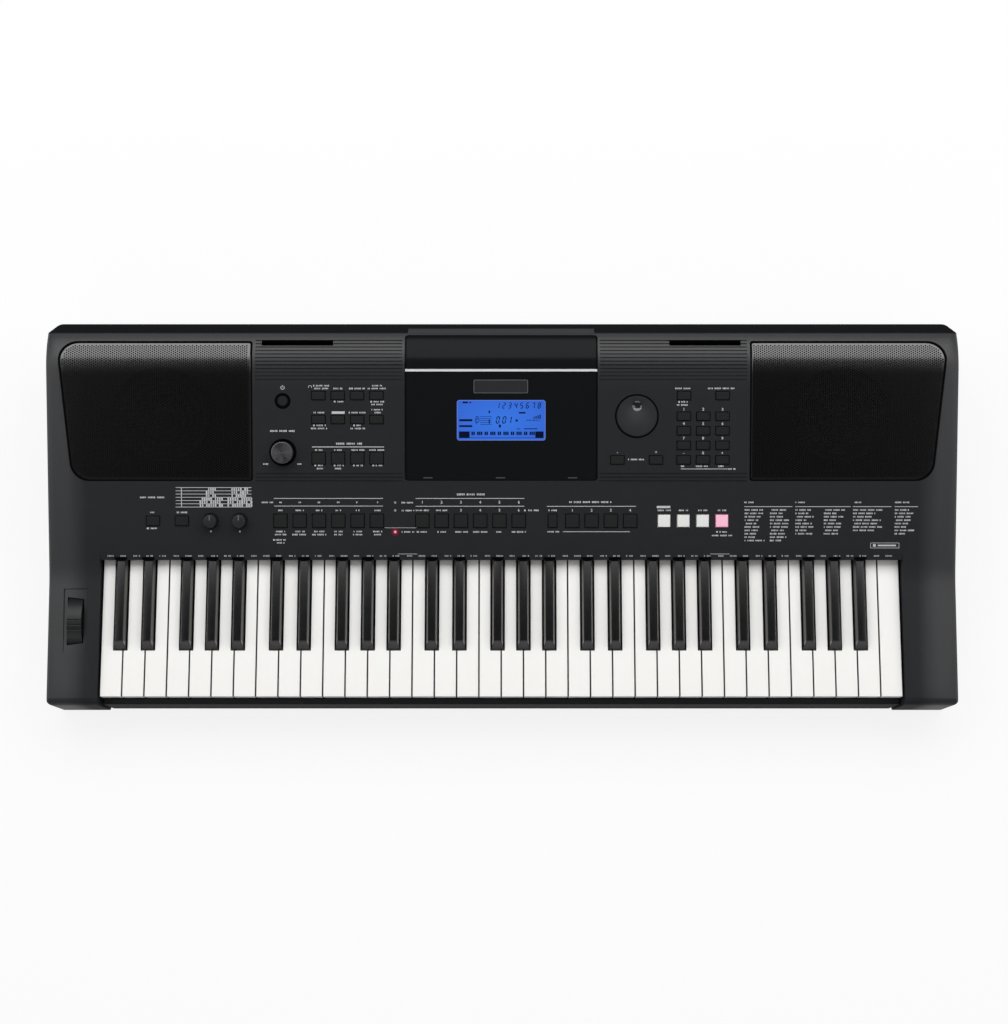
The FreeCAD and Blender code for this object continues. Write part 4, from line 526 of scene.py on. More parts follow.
# %% [markdown]
# ## Dressing the CAD nodes
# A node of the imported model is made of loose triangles, and its curves would look faceted. Its mesh must
# not change, but a modifier may work on it: a small geometry-node group joins the triangles, shades
# them smooth, and keeps an edge sharp where its faces meet at more than 28 degrees. Then each node gets
# the finish of its slot.

# %% Smooth shading
SHARP_ANGLE, WELD = math.radians(28), 2e-6
soft_tree = bpy.data.node_groups.new("soft_shading", "GeometryNodeTree")
sockets(soft_tree, "INPUT", [("Geometry", "Geometry")])
sockets(soft_tree, "OUTPUT", [("Geometry", "Geometry")])
entry = soft_tree.nodes.new("NodeGroupInput")
joined = soft_tree.nodes.new("GeometryNodeMergeByDistance")
smooth = soft_tree.nodes.new("GeometryNodeSetShadeSmooth")
corner = soft_tree.nodes.new("GeometryNodeInputMeshEdgeAngle")
steep = soft_tree.nodes.new("FunctionNodeCompare")
steep.data_type, steep.operation = "FLOAT", "GREATER_THAN"
crisp = soft_tree.nodes.new("GeometryNodeSetShadeSmooth")
crisp.domain = "EDGE"
leave = soft_tree.nodes.new("NodeGroupOutput")
connect(soft_tree, joined, {"Geometry": entry.outputs[0], "Distance": WELD})
connect(soft_tree, smooth, {"Geometry": joined.outputs[0]})
connect(soft_tree, steep, {0: corner.outputs[0], 1: SHARP_ANGLE})
connect(soft_tree, crisp, {"Geometry": smooth.outputs[0], "Selection": steep.outputs[0],
                           "Shade Smooth": False})
connect(soft_tree, leave, {0: crisp.outputs[0]})
print("soft shading:", len(soft_tree.nodes), "nodes")

# %% Finishes for the nodes
GRILLE_POLISH = (134, 147)
grille_paint = moulded("grille_paint", shade(7, 7, 7), 0.3, 2500.0, 0.12, 0.004, 0.06, 0.24,
                       constants={"Coat Roughness": 0.2, "Coat IOR": 1.75})
tree, shader, _ = opened(grille_paint)
polish = ramp(tree, by_axis(tree, "Object")[1], *GRILLE_POLISH, kind="SMOOTHSTEP")
connect(tree, shader, {"Coat Weight": polish})
finishes["grille_mesh"] = grille_paint
slot_of = {row["node"]: row["material_slot"] for row in frame["record"]["subparts"]}
for name, thing in nodes.items():
    if not thing.material_slots:
        thing.data.materials.append(None)
    for slot in thing.material_slots:
        slot.material = finishes[slot_of[name]]
    shading = thing.modifiers.new("soft_shading", "NODES")
    shading.node_group = soft_tree
print("dressed", len(nodes), "nodes with", len(set(slot_of.values())), "finishes")

# %% [markdown]
# ## Making a piece
# A new piece is an array of points and a list of faces. This helper turns millimetres into metres, builds
# the mesh at the origin with its place in its vertices, gives it a finish, and lets it ride on a body of
# the CAD model, so that it moves when that body moves.

# %% Piece helper
def make_piece(name, points, faces, finish, body="case", slot=None, smooth_angle=None, uv=None):
    """A mesh piece from points in mm and faces as lists of corners; uv holds one pair for each point."""
    mesh = bpy.data.meshes.new(name)
    mesh.from_pydata((np.asarray(points, float) * MM).tolist(), [], [list(face) for face in faces])
    mesh.update()
    if smooth_angle:
        mesh.shade_smooth()
        mesh.set_sharp_from_angle(angle=math.radians(smooth_angle))
    if uv is not None:
        corners = np.empty(len(mesh.loops), np.int32)
        mesh.loops.foreach_get("vertex_index", corners)
        layer = mesh.uv_layers.new(name="around")
        layer.data.foreach_set("uv", np.asarray(uv, np.float32)[corners].ravel())
    mesh.materials.append(finish)
    piece = bpy.data.objects.new(name, mesh)
    scene.collection.objects.link(piece)
    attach(piece, body)
    return piece


def grid_faces(rows, columns, wrap=False):
    """Quads between neighbours of a grid of points; wrap joins the last column to the first."""
    row = np.arange(rows - 1)[:, None]
    column = np.arange(columns if wrap else columns - 1)[None, :]
    after = (column + 1) % columns
    here, above = row * columns, (row + 1) * columns
    return np.stack([here + column, here + after, above + after, above + column], -1).reshape(-1, 4)


def join(parts):
    """Several point and face lists as one."""
    starts = np.cumsum([0] + [len(points) for points, faces in parts])
    faces = [[corner + start for corner in face]
             for (points, some), start in zip(parts, starts) for face in some]
    return np.concatenate([points for points, faces in parts]), faces


print("a 3 by 4 grid has", len(grid_faces(3, 4)), "faces")

# %% [markdown]
# ## Perforated speaker grilles
# Each loudspeaker sits behind a painted steel sheet with thousands of small holes, laid out like a
# honeycomb. A picture of dots would do from afar, but real holes catch the light on their rims and keep
# their depth in a near view. Every cell of the honeycomb is a hexagon with a six-sided hole: two rings of
# corners on top and one at the bottom of the hole. Cells at the border have no hole, and their corners are
# pulled in to the sheet's outline, so the edge is clean.

# %% Outline of a grille
GRILLE_INSET, GRILLE_LOW = 0.6, 1.6
SHEET_GAP, EDGE_BEVEL = 2.0, 0.5
INNER_CORNER, OUTER_CORNER = 1.5, 18.5


def unit(vectors):
    """Rows of vectors, each one long."""
    return vectors / np.linalg.norm(vectors, axis=1, keepdims=True)


def circle(count):
    """Points of a circle of radius one, in equal steps."""
    angle = 2 * math.pi * np.arange(count) / count
    return np.stack([np.cos(angle), np.sin(angle)], -1)


def rounded_outline(corners, radii, steps=9):
    """A polygon with each corner replaced by an arc that touches its two sides, points in order round it."""
    corners = np.asarray(corners, float)
    to_last = unit(np.roll(corners, 1, 0) - corners)
    to_next = unit(np.roll(corners, -1, 0) - corners)
    half = np.arccos(np.sum(to_last * to_next, 1)) / 2
    radii = np.asarray(radii, float)
    centres = corners + unit(to_last + to_next) * (radii / np.sin(half))[:, None]
    starts = corners + to_last * (radii / np.tan(half))[:, None] - centres
    ends = corners + to_next * (radii / np.tan(half))[:, None] - centres
    first = np.arctan2(starts[:, 1], starts[:, 0])
    sweep = np.arctan2(starts[:, 0] * ends[:, 1] - starts[:, 1] * ends[:, 0], np.sum(starts * ends, 1))
    angle = first[:, None] + sweep[:, None] * np.linspace(0, 1, steps)[None, :]
    points = centres[:, None, :] + radii[:, None, None] * np.stack([np.cos(angle), np.sin(angle)], -1)
    return points.reshape(-1, 2)


def divided(loop, count, long_side=10):
    """A closed loop with each of its long sides cut into a count of equal steps."""
    way = np.roll(loop, -1, 0) - loop
    steps = np.where(np.linalg.norm(way, axis=1) > long_side, count, 1)
    which = np.repeat(np.arange(len(loop)), steps)
    order = np.arange(steps.sum()) - np.repeat(np.cumsum(steps) - steps, steps)
    return loop[which] + way[which] * (order / steps[which])[:, None]


def grille_outline(side, gap):
    """The sheet's plan on one side: straight inside, slanting outside, a gap in from the case."""
    rear, front = GRILLE_REAR, GRILLE_REAR - GRILLE_DEPTH
    inner = GRILLE_INNER + side * PANEL_X + gap
    plan = [(inner, front + gap), (grille_reach(front) - gap, front + gap),
            (grille_reach(rear) - gap, rear - gap), (inner, rear - gap)]
    loop = divided(rounded_outline(plan, [INNER_CORNER, OUTER_CORNER, OUTER_CORNER, INNER_CORNER]), 48)
    return loop if side > 0 else (loop * [-1, 1])[::-1]


print("grille outline has", len(grille_outline(1, SHEET_GAP)), "points")

# %% Honeycomb sheet
CELL, HOLE = 2.5, 0.93
COLUMN_STEP = CELL * 0.866
HOLE_MARGIN, BORDER_MARGIN = 0.6 * CELL, -0.58 * CELL


def nearest_on(outline, points):
    """For each point: the closest point of the outline, and its distance, positive inside a convex loop."""
    start, way = outline, np.roll(outline, -1, 0) - outline
    reach = points[:, None, :] - start[None]
    share = np.clip(np.sum(reach * way, -1) / np.maximum(np.sum(way * way, -1), 1e-9), 0, 1)
    foot = start[None] + share[..., None] * way[None]
    gap = np.linalg.norm(points[:, None, :] - foot, axis=-1)
    pick = gap.argmin(1)
    line = np.arange(len(points))
    turned = way[None, :, 0] * reach[..., 1] - way[None, :, 1] * reach[..., 0]
    inside = (turned >= -1e-9).all(1)
    return foot[line, pick], np.where(inside, 1, -1) * gap[line, pick]


def cell_centres(outline):
    """Middles of cells of one pitch over the outline's box, in columns shifted by half of it."""
    low, high = outline.min(0) - CELL, outline.max(0) + CELL
    columns = np.arange(int((high[0] - low[0]) / COLUMN_STEP) + 1)
    places = np.arange(int((high[1] - low[1]) / CELL) + 1)
    y = low[1] + CELL * (places[None, :] + 0.5 * (columns[:, None] % 2))
    x = np.broadcast_to(low[0] + COLUMN_STEP * columns[:, None], y.shape)
    return np.stack([x.ravel(), y.ravel()], -1)


def on_skin(plan, inset):
    """Plan points lifted to the case's skin, an inset lower."""
    return np.concatenate([plan, skin_height(plan[..., 1], inset)[..., None]], -1).reshape(-1, 3)


def honeycomb(name, side):
    """A cell well inside the outline gets a hole, and one across the outline is pulled onto it. Heights come
    from the skin, so the sheet bends over the brow. A narrow skirt closes the edge."""
    outline, brink = grille_outline(side, SHEET_GAP + EDGE_BEVEL), grille_outline(side, SHEET_GAP)
    centres = cell_centres(outline)
    inside = nearest_on(outline, centres)[1]
    open_cells = centres[inside > HOLE_MARGIN]
    border = centres[(inside > BORDER_MARGIN) & (inside <= HOLE_MARGIN)]
    ring = circle(6)
    hexagon = open_cells[:, None, :] + ring * CELL / math.sqrt(3)
    hole = open_cells[:, None, :] + ring * HOLE
    drop = np.repeat([GRILLE_INSET, GRILLE_INSET, GRILLE_LOW], 6)
    cells = on_skin(np.concatenate([hexagon, hole, hole], 1), drop[None, :])
    one, nxt = np.arange(6), (np.arange(6) + 1) % 6
    flat = np.stack([one, nxt, nxt + 6, one + 6], -1)
    wall = np.stack([one + 6, nxt + 6, nxt + 12, one + 12], -1)
    first = np.arange(len(open_cells))[:, None, None] * 18
    quads = (first + np.concatenate([flat, wall])[None]).reshape(-1, 4)
    edge = (border[:, None, :] + ring * CELL / math.sqrt(3)).reshape(-1, 2)
    foot, gap = nearest_on(outline, edge)
    rim = on_skin(np.where(gap[:, None] > 0, edge, foot), GRILLE_INSET)
    patches = len(cells) + np.arange(len(rim)).reshape(-1, 6)
    insets = np.array([[GRILLE_LOW], [GRILLE_INSET + 0.3], [GRILLE_INSET]])
    skirt = on_skin(np.stack([brink, brink, outline]), insets)
    band = len(cells) + len(rim) + grid_faces(3, len(outline), wrap=True)
    faces = quads.tolist() + patches.tolist() + band.tolist()
    print(name, len(open_cells), "holes,", len(faces), "faces")
    return make_piece(name, np.concatenate([cells, rim, skirt]), faces, grille_paint, slot="grille_mesh")


for side, word in SIDES:
    sheet = honeycomb(f"grille_sheet_{word}", side)
    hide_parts(f"speaker_grille_{word}")

# %% [markdown]
# ## Painted shade round the grilles
# Between a grille and the case runs a thin black line: the shadow in the gap. Soft studio light fills
# such a narrow groove, so the shadow is painted: a black strip between the sheet's outline and the same
# outline a gap larger, a little under the sheet.

# %% Painted shade in the gap
GAP_SHADE_WIDTH, GAP_SHADE_LOW = SHEET_GAP - 0.1, GRILLE_LOW - 0.3
# Painted shade: a black strip stands for the shadow in the gap.
gap_shade = moulded("gap_shade", shade(7, 7, 7), 0.95, 3500.0, 0.3, 0.03, specular=0.05)


def seal_strip(outline):
    """Quads from a closed outline to its copy moved out along the mean normal of its two sides."""
    along = np.roll(outline, -1, 0) - np.roll(outline, 1, 0)
    normal = unit(np.stack([along[:, 1], -along[:, 0]], -1))
    rows = np.stack([outline + normal * GAP_SHADE_WIDTH, outline])
    return on_skin(rows, GAP_SHADE_LOW), grid_faces(2, len(outline), wrap=True)


for side, word in SIDES:
    make_piece(f"grille_gap_shade_{word}", *seal_strip(grille_outline(side, SHEET_GAP)), gap_shade)
print("seal strips are", GAP_SHADE_WIDTH, "mm wide")

# %% [markdown]
# ## Printed rules and labels
# The panel carries rows of small printed labels and thin rules that group the buttons. Labels here are
# generic: each word is a short row of blocks, the way a layout stands in for text, and only plain
# figures are set as figures. Ink is a film on the surface, so every block is one flat patch a few
# hundredths of a millimetre above the panel, and all of them together make one mesh.

# %% Ink patches
INK_LIFT = 0.05
SQUARE = np.array([(-0.5, -0.5), (0.5, -0.5), (0.5, 0.5), (-0.5, 0.5)])
ink = moulded("legend_ink", shade(186, 187, 188), 0.6, 1500.0, 0.06, 0.004)
dim_ink = moulded("lip_ink", shade(165, 166, 167), 0.6, 1500.0, 0.08, 0.004)


def patch_corners(patches):
    """Corners of upright rectangles given as rows of middle x, middle y, width and depth."""
    patches = np.asarray(patches, float)
    return (patches[:, None, :2] + SQUARE[None] * patches[:, None, 2:]).reshape(-1, 2)


def patch_faces(count):
    """One quad for each rectangle."""
    return np.arange(4 * count).reshape(-1, 4)


def panel_patches(patches, height=INK_LIFT):
    """Points and faces of rectangles that lie over the panel at one height."""
    return on_panel(*patch_corners(patches).T, height), patch_faces(len(patches))


def spread(x, y, width, depth):
    """Rows for patches from four columns, where a single number stands for a whole column."""
    return np.stack(np.broadcast_arrays(x, y, width, depth), -1)


def words(labels, seed):
    """Rows of middle x, row, width and cap height become blocks: as many as fit at 0.8 of the height each,
    with widths that vary a little, and every sixth one left out as a space."""
    labels = np.asarray(labels, float)
    chance = np.random.default_rng(seed)
    count = np.maximum(np.round(labels[:, 2] / (0.8 * labels[:, 3])).astype(int), 1)
    which = np.repeat(np.arange(len(labels)), count)
    order = np.arange(count.sum()) - np.repeat(np.cumsum(count) - count, count)
    step = (labels[:, 2] / count)[which]
    x = labels[which, 0] - labels[which, 2] / 2 + (order + 0.5) * step
    width = step * chance.uniform(0.5, 0.82, len(which))
    depth = labels[which, 3] * chance.uniform(0.72, 1.0, len(which))
    kept = (order + which) % 6 != 5
    return np.stack([x, labels[which, 1], width, depth], -1)[kept]


COLUMN = 20.0
LEFT_COLUMNS = -229 + COLUMN * np.arange(6)
RIGHT_COLUMNS = 169 + COLUMN * np.arange(4)
TRACK_COLUMNS = -81.8 + COLUMN * np.arange(6)
MEMORY_COLUMNS = 73.8 + COLUMN * np.arange(4)
LAMP_X, LAMP_ROWS = -110.0, (51.6, 43.4, 21.2)
print("columns:", LEFT_COLUMNS, TRACK_COLUMNS, MEMORY_COLUMNS, RIGHT_COLUMNS)

# %% Rules
RULE = 0.6
TABLE_ROWS = 67.3 - 3.37 * np.arange(7)
rules = [(-158.6, 109.4, 74.5, 0.8), (-179.1, 56.0, 113.0, RULE), (-179.1, 48.1, 113.0, RULE),
         (-32.4, 56.0, 112.7, RULE), (-32.4, 47.9, 112.7, RULE), (93.6, 47.8, 92.3, RULE),
         (98.9, 21.4, 69.6, RULE), (210.3, 86.6, 48.5, RULE), (-104.4, 25.5, 33, 0.35)]
rules += [(x, 47.5, width, RULE) for x, width in ((277.1, 49.8), (333.7, 57.4), (384.8, 40), (420.3, 24.2))]
rules += [(-298.3, row, 78.6, 0.55) for row in TABLE_ROWS]
rules += [(-331.6, 57.2, 0.8, 20.6), (-168.6, 144.9, 13.4, 2.5), (168.4, 47.1, 14, 2.3)]
print("rules:", len(rules))

# %% Labels
CAP, TABLE_CAP = 1.75, 2.9


def line(row, spots, cap=CAP):
    """Labels of one row, given as pairs of middle x and width."""
    return [(x, row, width, cap) for x, width in spots]


labels = line(169.8, ((-186.2, 15), (-168.9, 9.6), (-149, 16.7), (-128.7, 19)))
labels += line(172.7, ((-186.2, 16.5), (-129, 12))) + line(156.2, ((-166.3, 6.5), (-126.5, 11)))
labels += line(153.3, ((-128.5, 12),)) + line(144.9, ((-188, 13), (-148.4, 19), (-128.5, 8)))
labels += line(131.7, ((-186.3, 10),)) + line(128.5, ((-188.5, 17),))
labels += line(131.7, ((-146.7, 6.2),)) + line(128.5, ((-148.4, 15.3),)) + line(147.9, ((-128.5, 12),))
labels += line(112.8, ((-158.6, 29),), 2.2) + line(125.9, ((-226.6, 26),), 2.0)
labels += line(91.7, ((-244.1, 6), (-208.4, 6))) + line(106.2, zip(LEFT_COLUMNS[2:], (8, 8, 15, 16)))
labels += line(90.2, [(x + 2.4, 7) for x in LEFT_COLUMNS[2:]])
labels += line(87.0, [(x + 0.6, 8) for x in LEFT_COLUMNS[2:4]])
labels += line(57.1, ((-361.1, 27),), 2.0) + line(41.5, ((-361.3, 6), (-331.3, 11)))
labels += line(24.9, ((-361.3, 11),))
for place, row in enumerate(TABLE_ROWS[:6] - 1.685):
    entries = ((-301, 11), (-271.1, 18)) if place < 3 else ((-300.8, 24.7), (-271.1, 26.4))
    labels += line(row, entries, TABLE_CAP)
labels += line(51.9, ((-243.2, 13.6), *((x, 3) for x in LEFT_COLUMNS)))
labels += line(43.6, zip(LEFT_COLUMNS, (5, 9, 7, 6, 4, 8)))
labels += line(21.6, zip(LEFT_COLUMNS, (10, 10, 11, 9, 9, 11)))
labels += line(18.4, zip(LEFT_COLUMNS, (12, 16, 15, 9, 10, 9)))
labels += line(12.9, ((-229, 11),)) + line(9.8, ((-229, 8),))
labels += [(-96.8, row, 13.5, CAP) for row in LAMP_ROWS]
labels += line(60.2, ((-32.5, 31),), 2.2) + line(43.6, ((-81.8, 14), (-61.8, 12), (33.5, 11)))
labels += line(21.2, zip(TRACK_COLUMNS, (12, 9, 15, 15, 7, 15))) + line(52.2, ((92.3, 44),), 2.0)
labels += line(43.6, ((53.3, 9),)) + line(21.4, ((53.3, 14),))
labels += line(43.6, zip(RIGHT_COLUMNS, (14, 10, 10, 9)))
labels += line(21.2, ((230.5, 8),)) + line(17.5, ((228.5, 23),)) + line(169.9, ((187.6, 16), (227.4, 28)))
labels += line(156.0, ((189.5, 7),)) + line(152.8, ((188, 13),)) + line(96.4, ((139.6, 17),))
labels += line(89.4, ((187.3, 5), (207.7, 12.7), (227.5, 6))) + line(86.6, ((238.8, 8),))
labels += line(51.9, ((256.8, 10), (310, 10.5), (370, 10), (416.5, 16.5)))
print("labels beside the buttons:", len(labels))

# %% Lists and the printed mesh
LIST_COLUMNS = ((252.4, 10, 19), (278.8, 10, 18), (305.1, 8, 18), (334.6, 8, 21), (364.9, 7, 30),
                (408.2, 8, 19))
LIST_TOP, LIST_STEP = 44.0, 3.53
wobble = np.random.default_rng(5)
for left, count, width in LIST_COLUMNS:
    widths = width * wobble.uniform(0.62, 1.12, count)
    labels += [(left + wide / 2, LIST_TOP - LIST_STEP * row, wide, CAP) for row, wide in enumerate(widths)]
legend = np.concatenate([np.array(rules), words(labels, 11)])
make_piece("panel_legends", *panel_patches(legend), ink)
print("panel legends:", len(rules), "rules and blocks,", len(labels), "labels,", len(legend), "patches")

# %% [markdown]
# ## Marks along the panel's lip
# The panel's front edge bends down towards the keys, and carries one tiny label for each of the 61 keys,
# in even steps. They are printed dimmer than the rest. The lip is a flat bevel, so a mark's height follows
# its depth on the bevel.

# %% Lip marks
LIP_REACH, LIP_DROP = 7.5, 3.3
KEYS_LEFT, KEY_COUNT, OCTAVE = -417.0, 61, 7 * 23.1
lip_tilt = math.atan2(LIP_DROP, LIP_REACH)


def on_lip(patches):
    """Points and faces of patches on the bevel: x from the panel's middle, reach up from its lower edge."""
    flat = patch_corners(patches)
    y = PANEL_Y - LIP_REACH + flat[:, 1] * math.cos(lip_tilt) - INK_LIFT * math.sin(lip_tilt)
    z = PANEL_Z - LIP_DROP + flat[:, 1] * math.sin(lip_tilt) + INK_LIFT * math.cos(lip_tilt)
    return np.stack([PANEL_X + flat[:, 0], y, z], -1), patch_faces(len(patches))


spots = KEYS_LEFT - PANEL_X + 10 + OCTAVE / 12 * np.arange(KEY_COUNT)
lip_words = words(spread(spots, 4.3, 7.2, 1.7), 3)
lip_patches = np.concatenate([lip_words, [(-97.2, 6.4, 19.8, RULE), (227.2, 6.4, 19.8, RULE)]])
make_piece("lip_legends", *on_lip(lip_patches), dim_ink)
print("lip marks:", len(lip_patches), "patches")

# %% [markdown]
# ## Clearances over the black keys
# Above every black key the lip's edge is relieved a little, and the place lies in deep shade. Here each
# relief and its shade is a black patch on the bevel, painted shade. One octave's places come from the
# solids of its black keys, and the other octaves repeat them.

# %% Clearance shade
CLEAR_WIDTH, CLEAR_DEPTH = 13.0, 3.0
# Painted shade: black patches stand for the relieved edge and its shade.
clearance_shade = moulded("clearance_shade", shade(5, 5, 6), 0.95, 3000.0, 0.3, 0.02, specular=0.03)
black_boxes = np.array([nodes[f"key_{tone}_sharp_octave_3"].bound_box for tone in "cdfga"])
black_middles = black_boxes[:, :, 0].mean(1) / MM - PANEL_X
over_keys = (black_middles[None, :] + OCTAVE * np.arange(-2, 3)[:, None]).ravel()
clearances = spread(over_keys, CLEAR_DEPTH / 2, CLEAR_WIDTH, CLEAR_DEPTH)
make_piece("lip_clearances", *on_lip(clearances), clearance_shade)
print("clearances over", len(over_keys), "black keys, first at", round(over_keys[0], 1), "mm")

# %% [markdown]
# ## Figures and signs
# Plain figures number the pad, the tracks and the memories, and plus and minus mark the two category
# buttons. Blender's own font makes them: each text becomes a mesh first, and only its corner
# points are used, so that all the figures are one flat piece of ink.

# %% Figures
def text_shape(text):
    """The filled outline of a text, one unit high, as points and faces."""
    curve = bpy.data.curves.new("figure", "FONT")
    curve.body = text
    curve.align_x, curve.align_y = "CENTER", "CENTER"
    curve.resolution_u = 3
    curve.offset = 0.025
    thing = bpy.data.objects.new("figure", curve)
    mesh = bpy.data.meshes.new_from_object(thing)
    flat = np.empty(len(mesh.vertices) * 3, np.float32)
    mesh.vertices.foreach_get("co", flat)
    faces = [list(face.vertices) for face in mesh.polygons]
    bpy.data.meshes.remove(mesh)
    bpy.data.objects.remove(thing)
    bpy.data.curves.remove(curve)
    return flat.reshape(-1, 3)[:, :2].astype(float), faces


def ink_figure(text, x, row):
    """Points and faces of one text round a point of the panel."""
    shape, faces = text_shape(text)
    return on_panel(*([x, row] + shape * FIGURE).T, INK_LIFT), faces


FIGURE = 3.9
PAD_ROWS = (148.2, 133.4, 118.3, 103.0)
figures = [(text, RIGHT_COLUMNS[1 + place % 3], PAD_ROWS[place // 3])
           for place, text in enumerate("123456789-0+")]
for columns, row, first in ((TRACK_COLUMNS, 51.9, 1), (TRACK_COLUMNS[2:], 43.6, 3),
                            (MEMORY_COLUMNS, 43.6, 1)):
    figures += [(str(place), x, row) for place, x in enumerate(columns, first)]
figures += [("-", 120.4, 103.8), ("+", 160.4, 103.8)]
make_piece("panel_figures", *join([ink_figure(*figure) for figure in figures]), ink)
print("figures:", len(figures))

# %% [markdown]
# ## Bullets, the standby mark and a small frame
# Second functions have a small round bullet, the standby button has the usual broken ring with a stroke,
# and one place is framed by a thin line. A ring is a strip: a line carried round a path, with an inner and
# an outer edge.

# %% Bullets, rings and frame
def ring_strip(centre, inner, outer, first, last, count=24):
    """Part of a flat ring: points at two radii for equal steps of the angle in degrees."""
    angle = np.radians(np.linspace(first, last, count))
    radius = np.array([outer, inner])[:, None]
    points = on_panel(centre[0] + radius * np.cos(angle), centre[1] + radius * np.sin(angle), INK_LIFT)
    return points.reshape(-1, 3), grid_faces(2, count)


def discs(centres, radius, count=10):
    """Flat discs at many centres, one polygon each."""
    flat = (np.asarray(centres, float)[:, None, :] + radius * circle(count)).reshape(-1, 2)
    return on_panel(*flat.T, INK_LIFT), np.arange(len(flat)).reshape(-1, count)


STANDBY_X = -226.1
bullets = [(-172.2, 156.2), (-134.5, 156.2), (-193.8, 131.7), (-152.2, 131.7), (24.6, 43.6), (-367, 24.9)]
bullets += [(x - 3.6, 90.2) for x in LEFT_COLUMNS[2:]] + [(-236, 12.9), (224, 21.2), (184, 156.0)]
frame_lines = [(398.3, 9.7, 29.5, 0.45), (398.3, 4.5, 29.5, 0.45), (383.6, 7.1, 0.45, 5.2),
               (413.1, 7.1, 0.45, 5.2), (387.5, 7.1, 3.0, 2.6), (400.5, 7.1, 19, 1.6)]
signs = [discs(bullets, 1.0), ring_strip((STANDBY_X, 170.8), 1.5, 2.1, 125, 415),
         ring_strip((-197.6, 171.2), 1.4, 1.9, -30, 210), panel_patches([(STANDBY_X, 172.2, 0.6, 2.4)]),
         panel_patches(frame_lines)]
make_piece("panel_signs", *join(signs), ink)
print("signs:", len(bullets), "bullets, two rings, one frame")

# %% [markdown]
# ## The lit display
# Behind the window is a blue, back-lit display. Its light is an emission that is a little brighter in the
# middle, broken by the fine grid of its cells. Over it lie dark segments: figures of seven bars, bars, a
# stave with a note, level bars and a small picture of the keys. They are generic stand-ins for what such a
# display shows.

# %% Display light
SCREEN_ROW, SCREEN_W, SCREEN_D = 137.0, 92.0, 42.0
SCREEN_LOW, SCREEN_ROWS, SCREEN_COLUMNS = -2.04, 12, 24
screen_light, tree, shader, where = new_material("screen_light")
centred = moved(tree, where, (0.0012, -0.0878, 0))
oval = add(tree, "VectorMath", {0: centred, 1: (18.0, 30.0, 0.0)}, operation="MULTIPLY").outputs[0]
cells = bricks(tree, where, 1400.0, 1.0, 0.97, 0.9)
blue = blend(tree, length(tree, oval), shade(50, 116, 226), shade(46, 98, 208))
connect(tree, shader, {"Base Color": (0.004, 0.006, 0.012, 1), "Roughness": 0.25, "Emission Strength": 1.0,
                       "Emission Color": blend(tree, 0.5, blue, cells, "MULTIPLY")})
across, along = np.meshgrid(np.linspace(-0.5, 0.5, SCREEN_COLUMNS), np.linspace(-0.5, 0.5, SCREEN_ROWS))
plate = on_panel(across * SCREEN_W, SCREEN_ROW + along * SCREEN_D, SCREEN_LOW)
make_piece("screen_light", plate.reshape(-1, 3), grid_faces(SCREEN_ROWS, SCREEN_COLUMNS), screen_light,
           slot="display_glass")
print("display light:", plate.shape[:2], "points")

# %% Display segments
SEGMENT_LIFT = SCREEN_LOW + 0.04
segment_ink = moulded("segment_ink", shade(7, 13, 44), 0.5, 2000.0, 0.1, 0.001, specular=0.05)
BARS = np.array([(0, 1, 0.64, 0.32), (0.42, 0.5, 0.32, 0.8), (0.42, -0.5, 0.32, 0.8), (0, -1, 0.64, 0.32),
                 (-0.42, -0.5, 0.32, 0.8), (-0.42, 0.5, 0.32, 0.8), (0, 0, 0.64, 0.3)])
LIT_BARS = ((0, 1, 2, 3, 4, 5), (1, 2), (0, 1, 3, 4, 6), (0, 1, 2, 3, 6), (1, 2, 5, 6), (0, 2, 3, 5, 6),
            (0, 2, 3, 4, 5, 6), (0, 1, 2), (0, 1, 2, 3, 4, 5, 6))


def seven_bar(figure, x, y, size):
    """Bars of a seven-bar figure: middles and sizes on a two-unit-high cell, scaled, leaning to the right."""
    bars = BARS[list(LIT_BARS[figure])] * size
    bars[:, 0] += x + 0.18 * bars[:, 1]
    bars[:, 1] += y
    return bars


marks = [seven_bar(figure, x, 0.3, 3.3) for figure, x in ((0, -3.4), (0, 3.2), (1, 8.8))]
marks += [seven_bar(place + 1, -3.2 + 6.1 * place, 15.2, 2.7) for place in range(8)]
marks += [[(-36.7, 0.0, 13.6, 2.2), (-36.7, -6.1, 13.6, 1.9), (-37.2, 18.4, 5.5, 1.7), (-32, 18.4, 2.2, 1.2),
           (21.7, 7.7, 7.0, 1.6), (16.0, -0.3, 2.3, 2.3), (-12.4, -1.4, 1.1, 4.4), (-1.4, -6.0, 2.2, 3.0),
           (30.5, -8.9, 14, 0.9), (18, -9.0, 4, 0.7), (-12.3, 8.6, 1.6, 2.6)]]
step = np.arange(5)
marks += [spread(-15.8, 3.7 - 2.05 * step, 12.0, 0.42)]
marks += [spread(34 + 2.1 * step[:4], 2.6 + 0.35 * step[:4], 1.2, 1.6 + 0.9 * step[:4])]
marks += [words([(33, 0.0, 14, 1.3)], 22)]
marks += [[(-38.2, -15.05, 11.0, 6.9), (39.6, -15.05, 8.6, 6.9), (2.0, -18.25, 69, 0.45)]]
small_keys = np.arange(35)
small_pitch = 68.0 / 35
small_black = small_keys[~np.isin(small_keys % 7, (2, 6))]
marks += [spread(-32.0 + (small_black + 1) * small_pitch, -13.6, small_pitch * 0.8, 3.6)]
segments = np.concatenate(marks) + [0, SCREEN_ROW, 0, 0]
make_piece("screen_segments", *panel_patches(segments, SEGMENT_LIFT), segment_ink)
print("display segments:", len(segments))

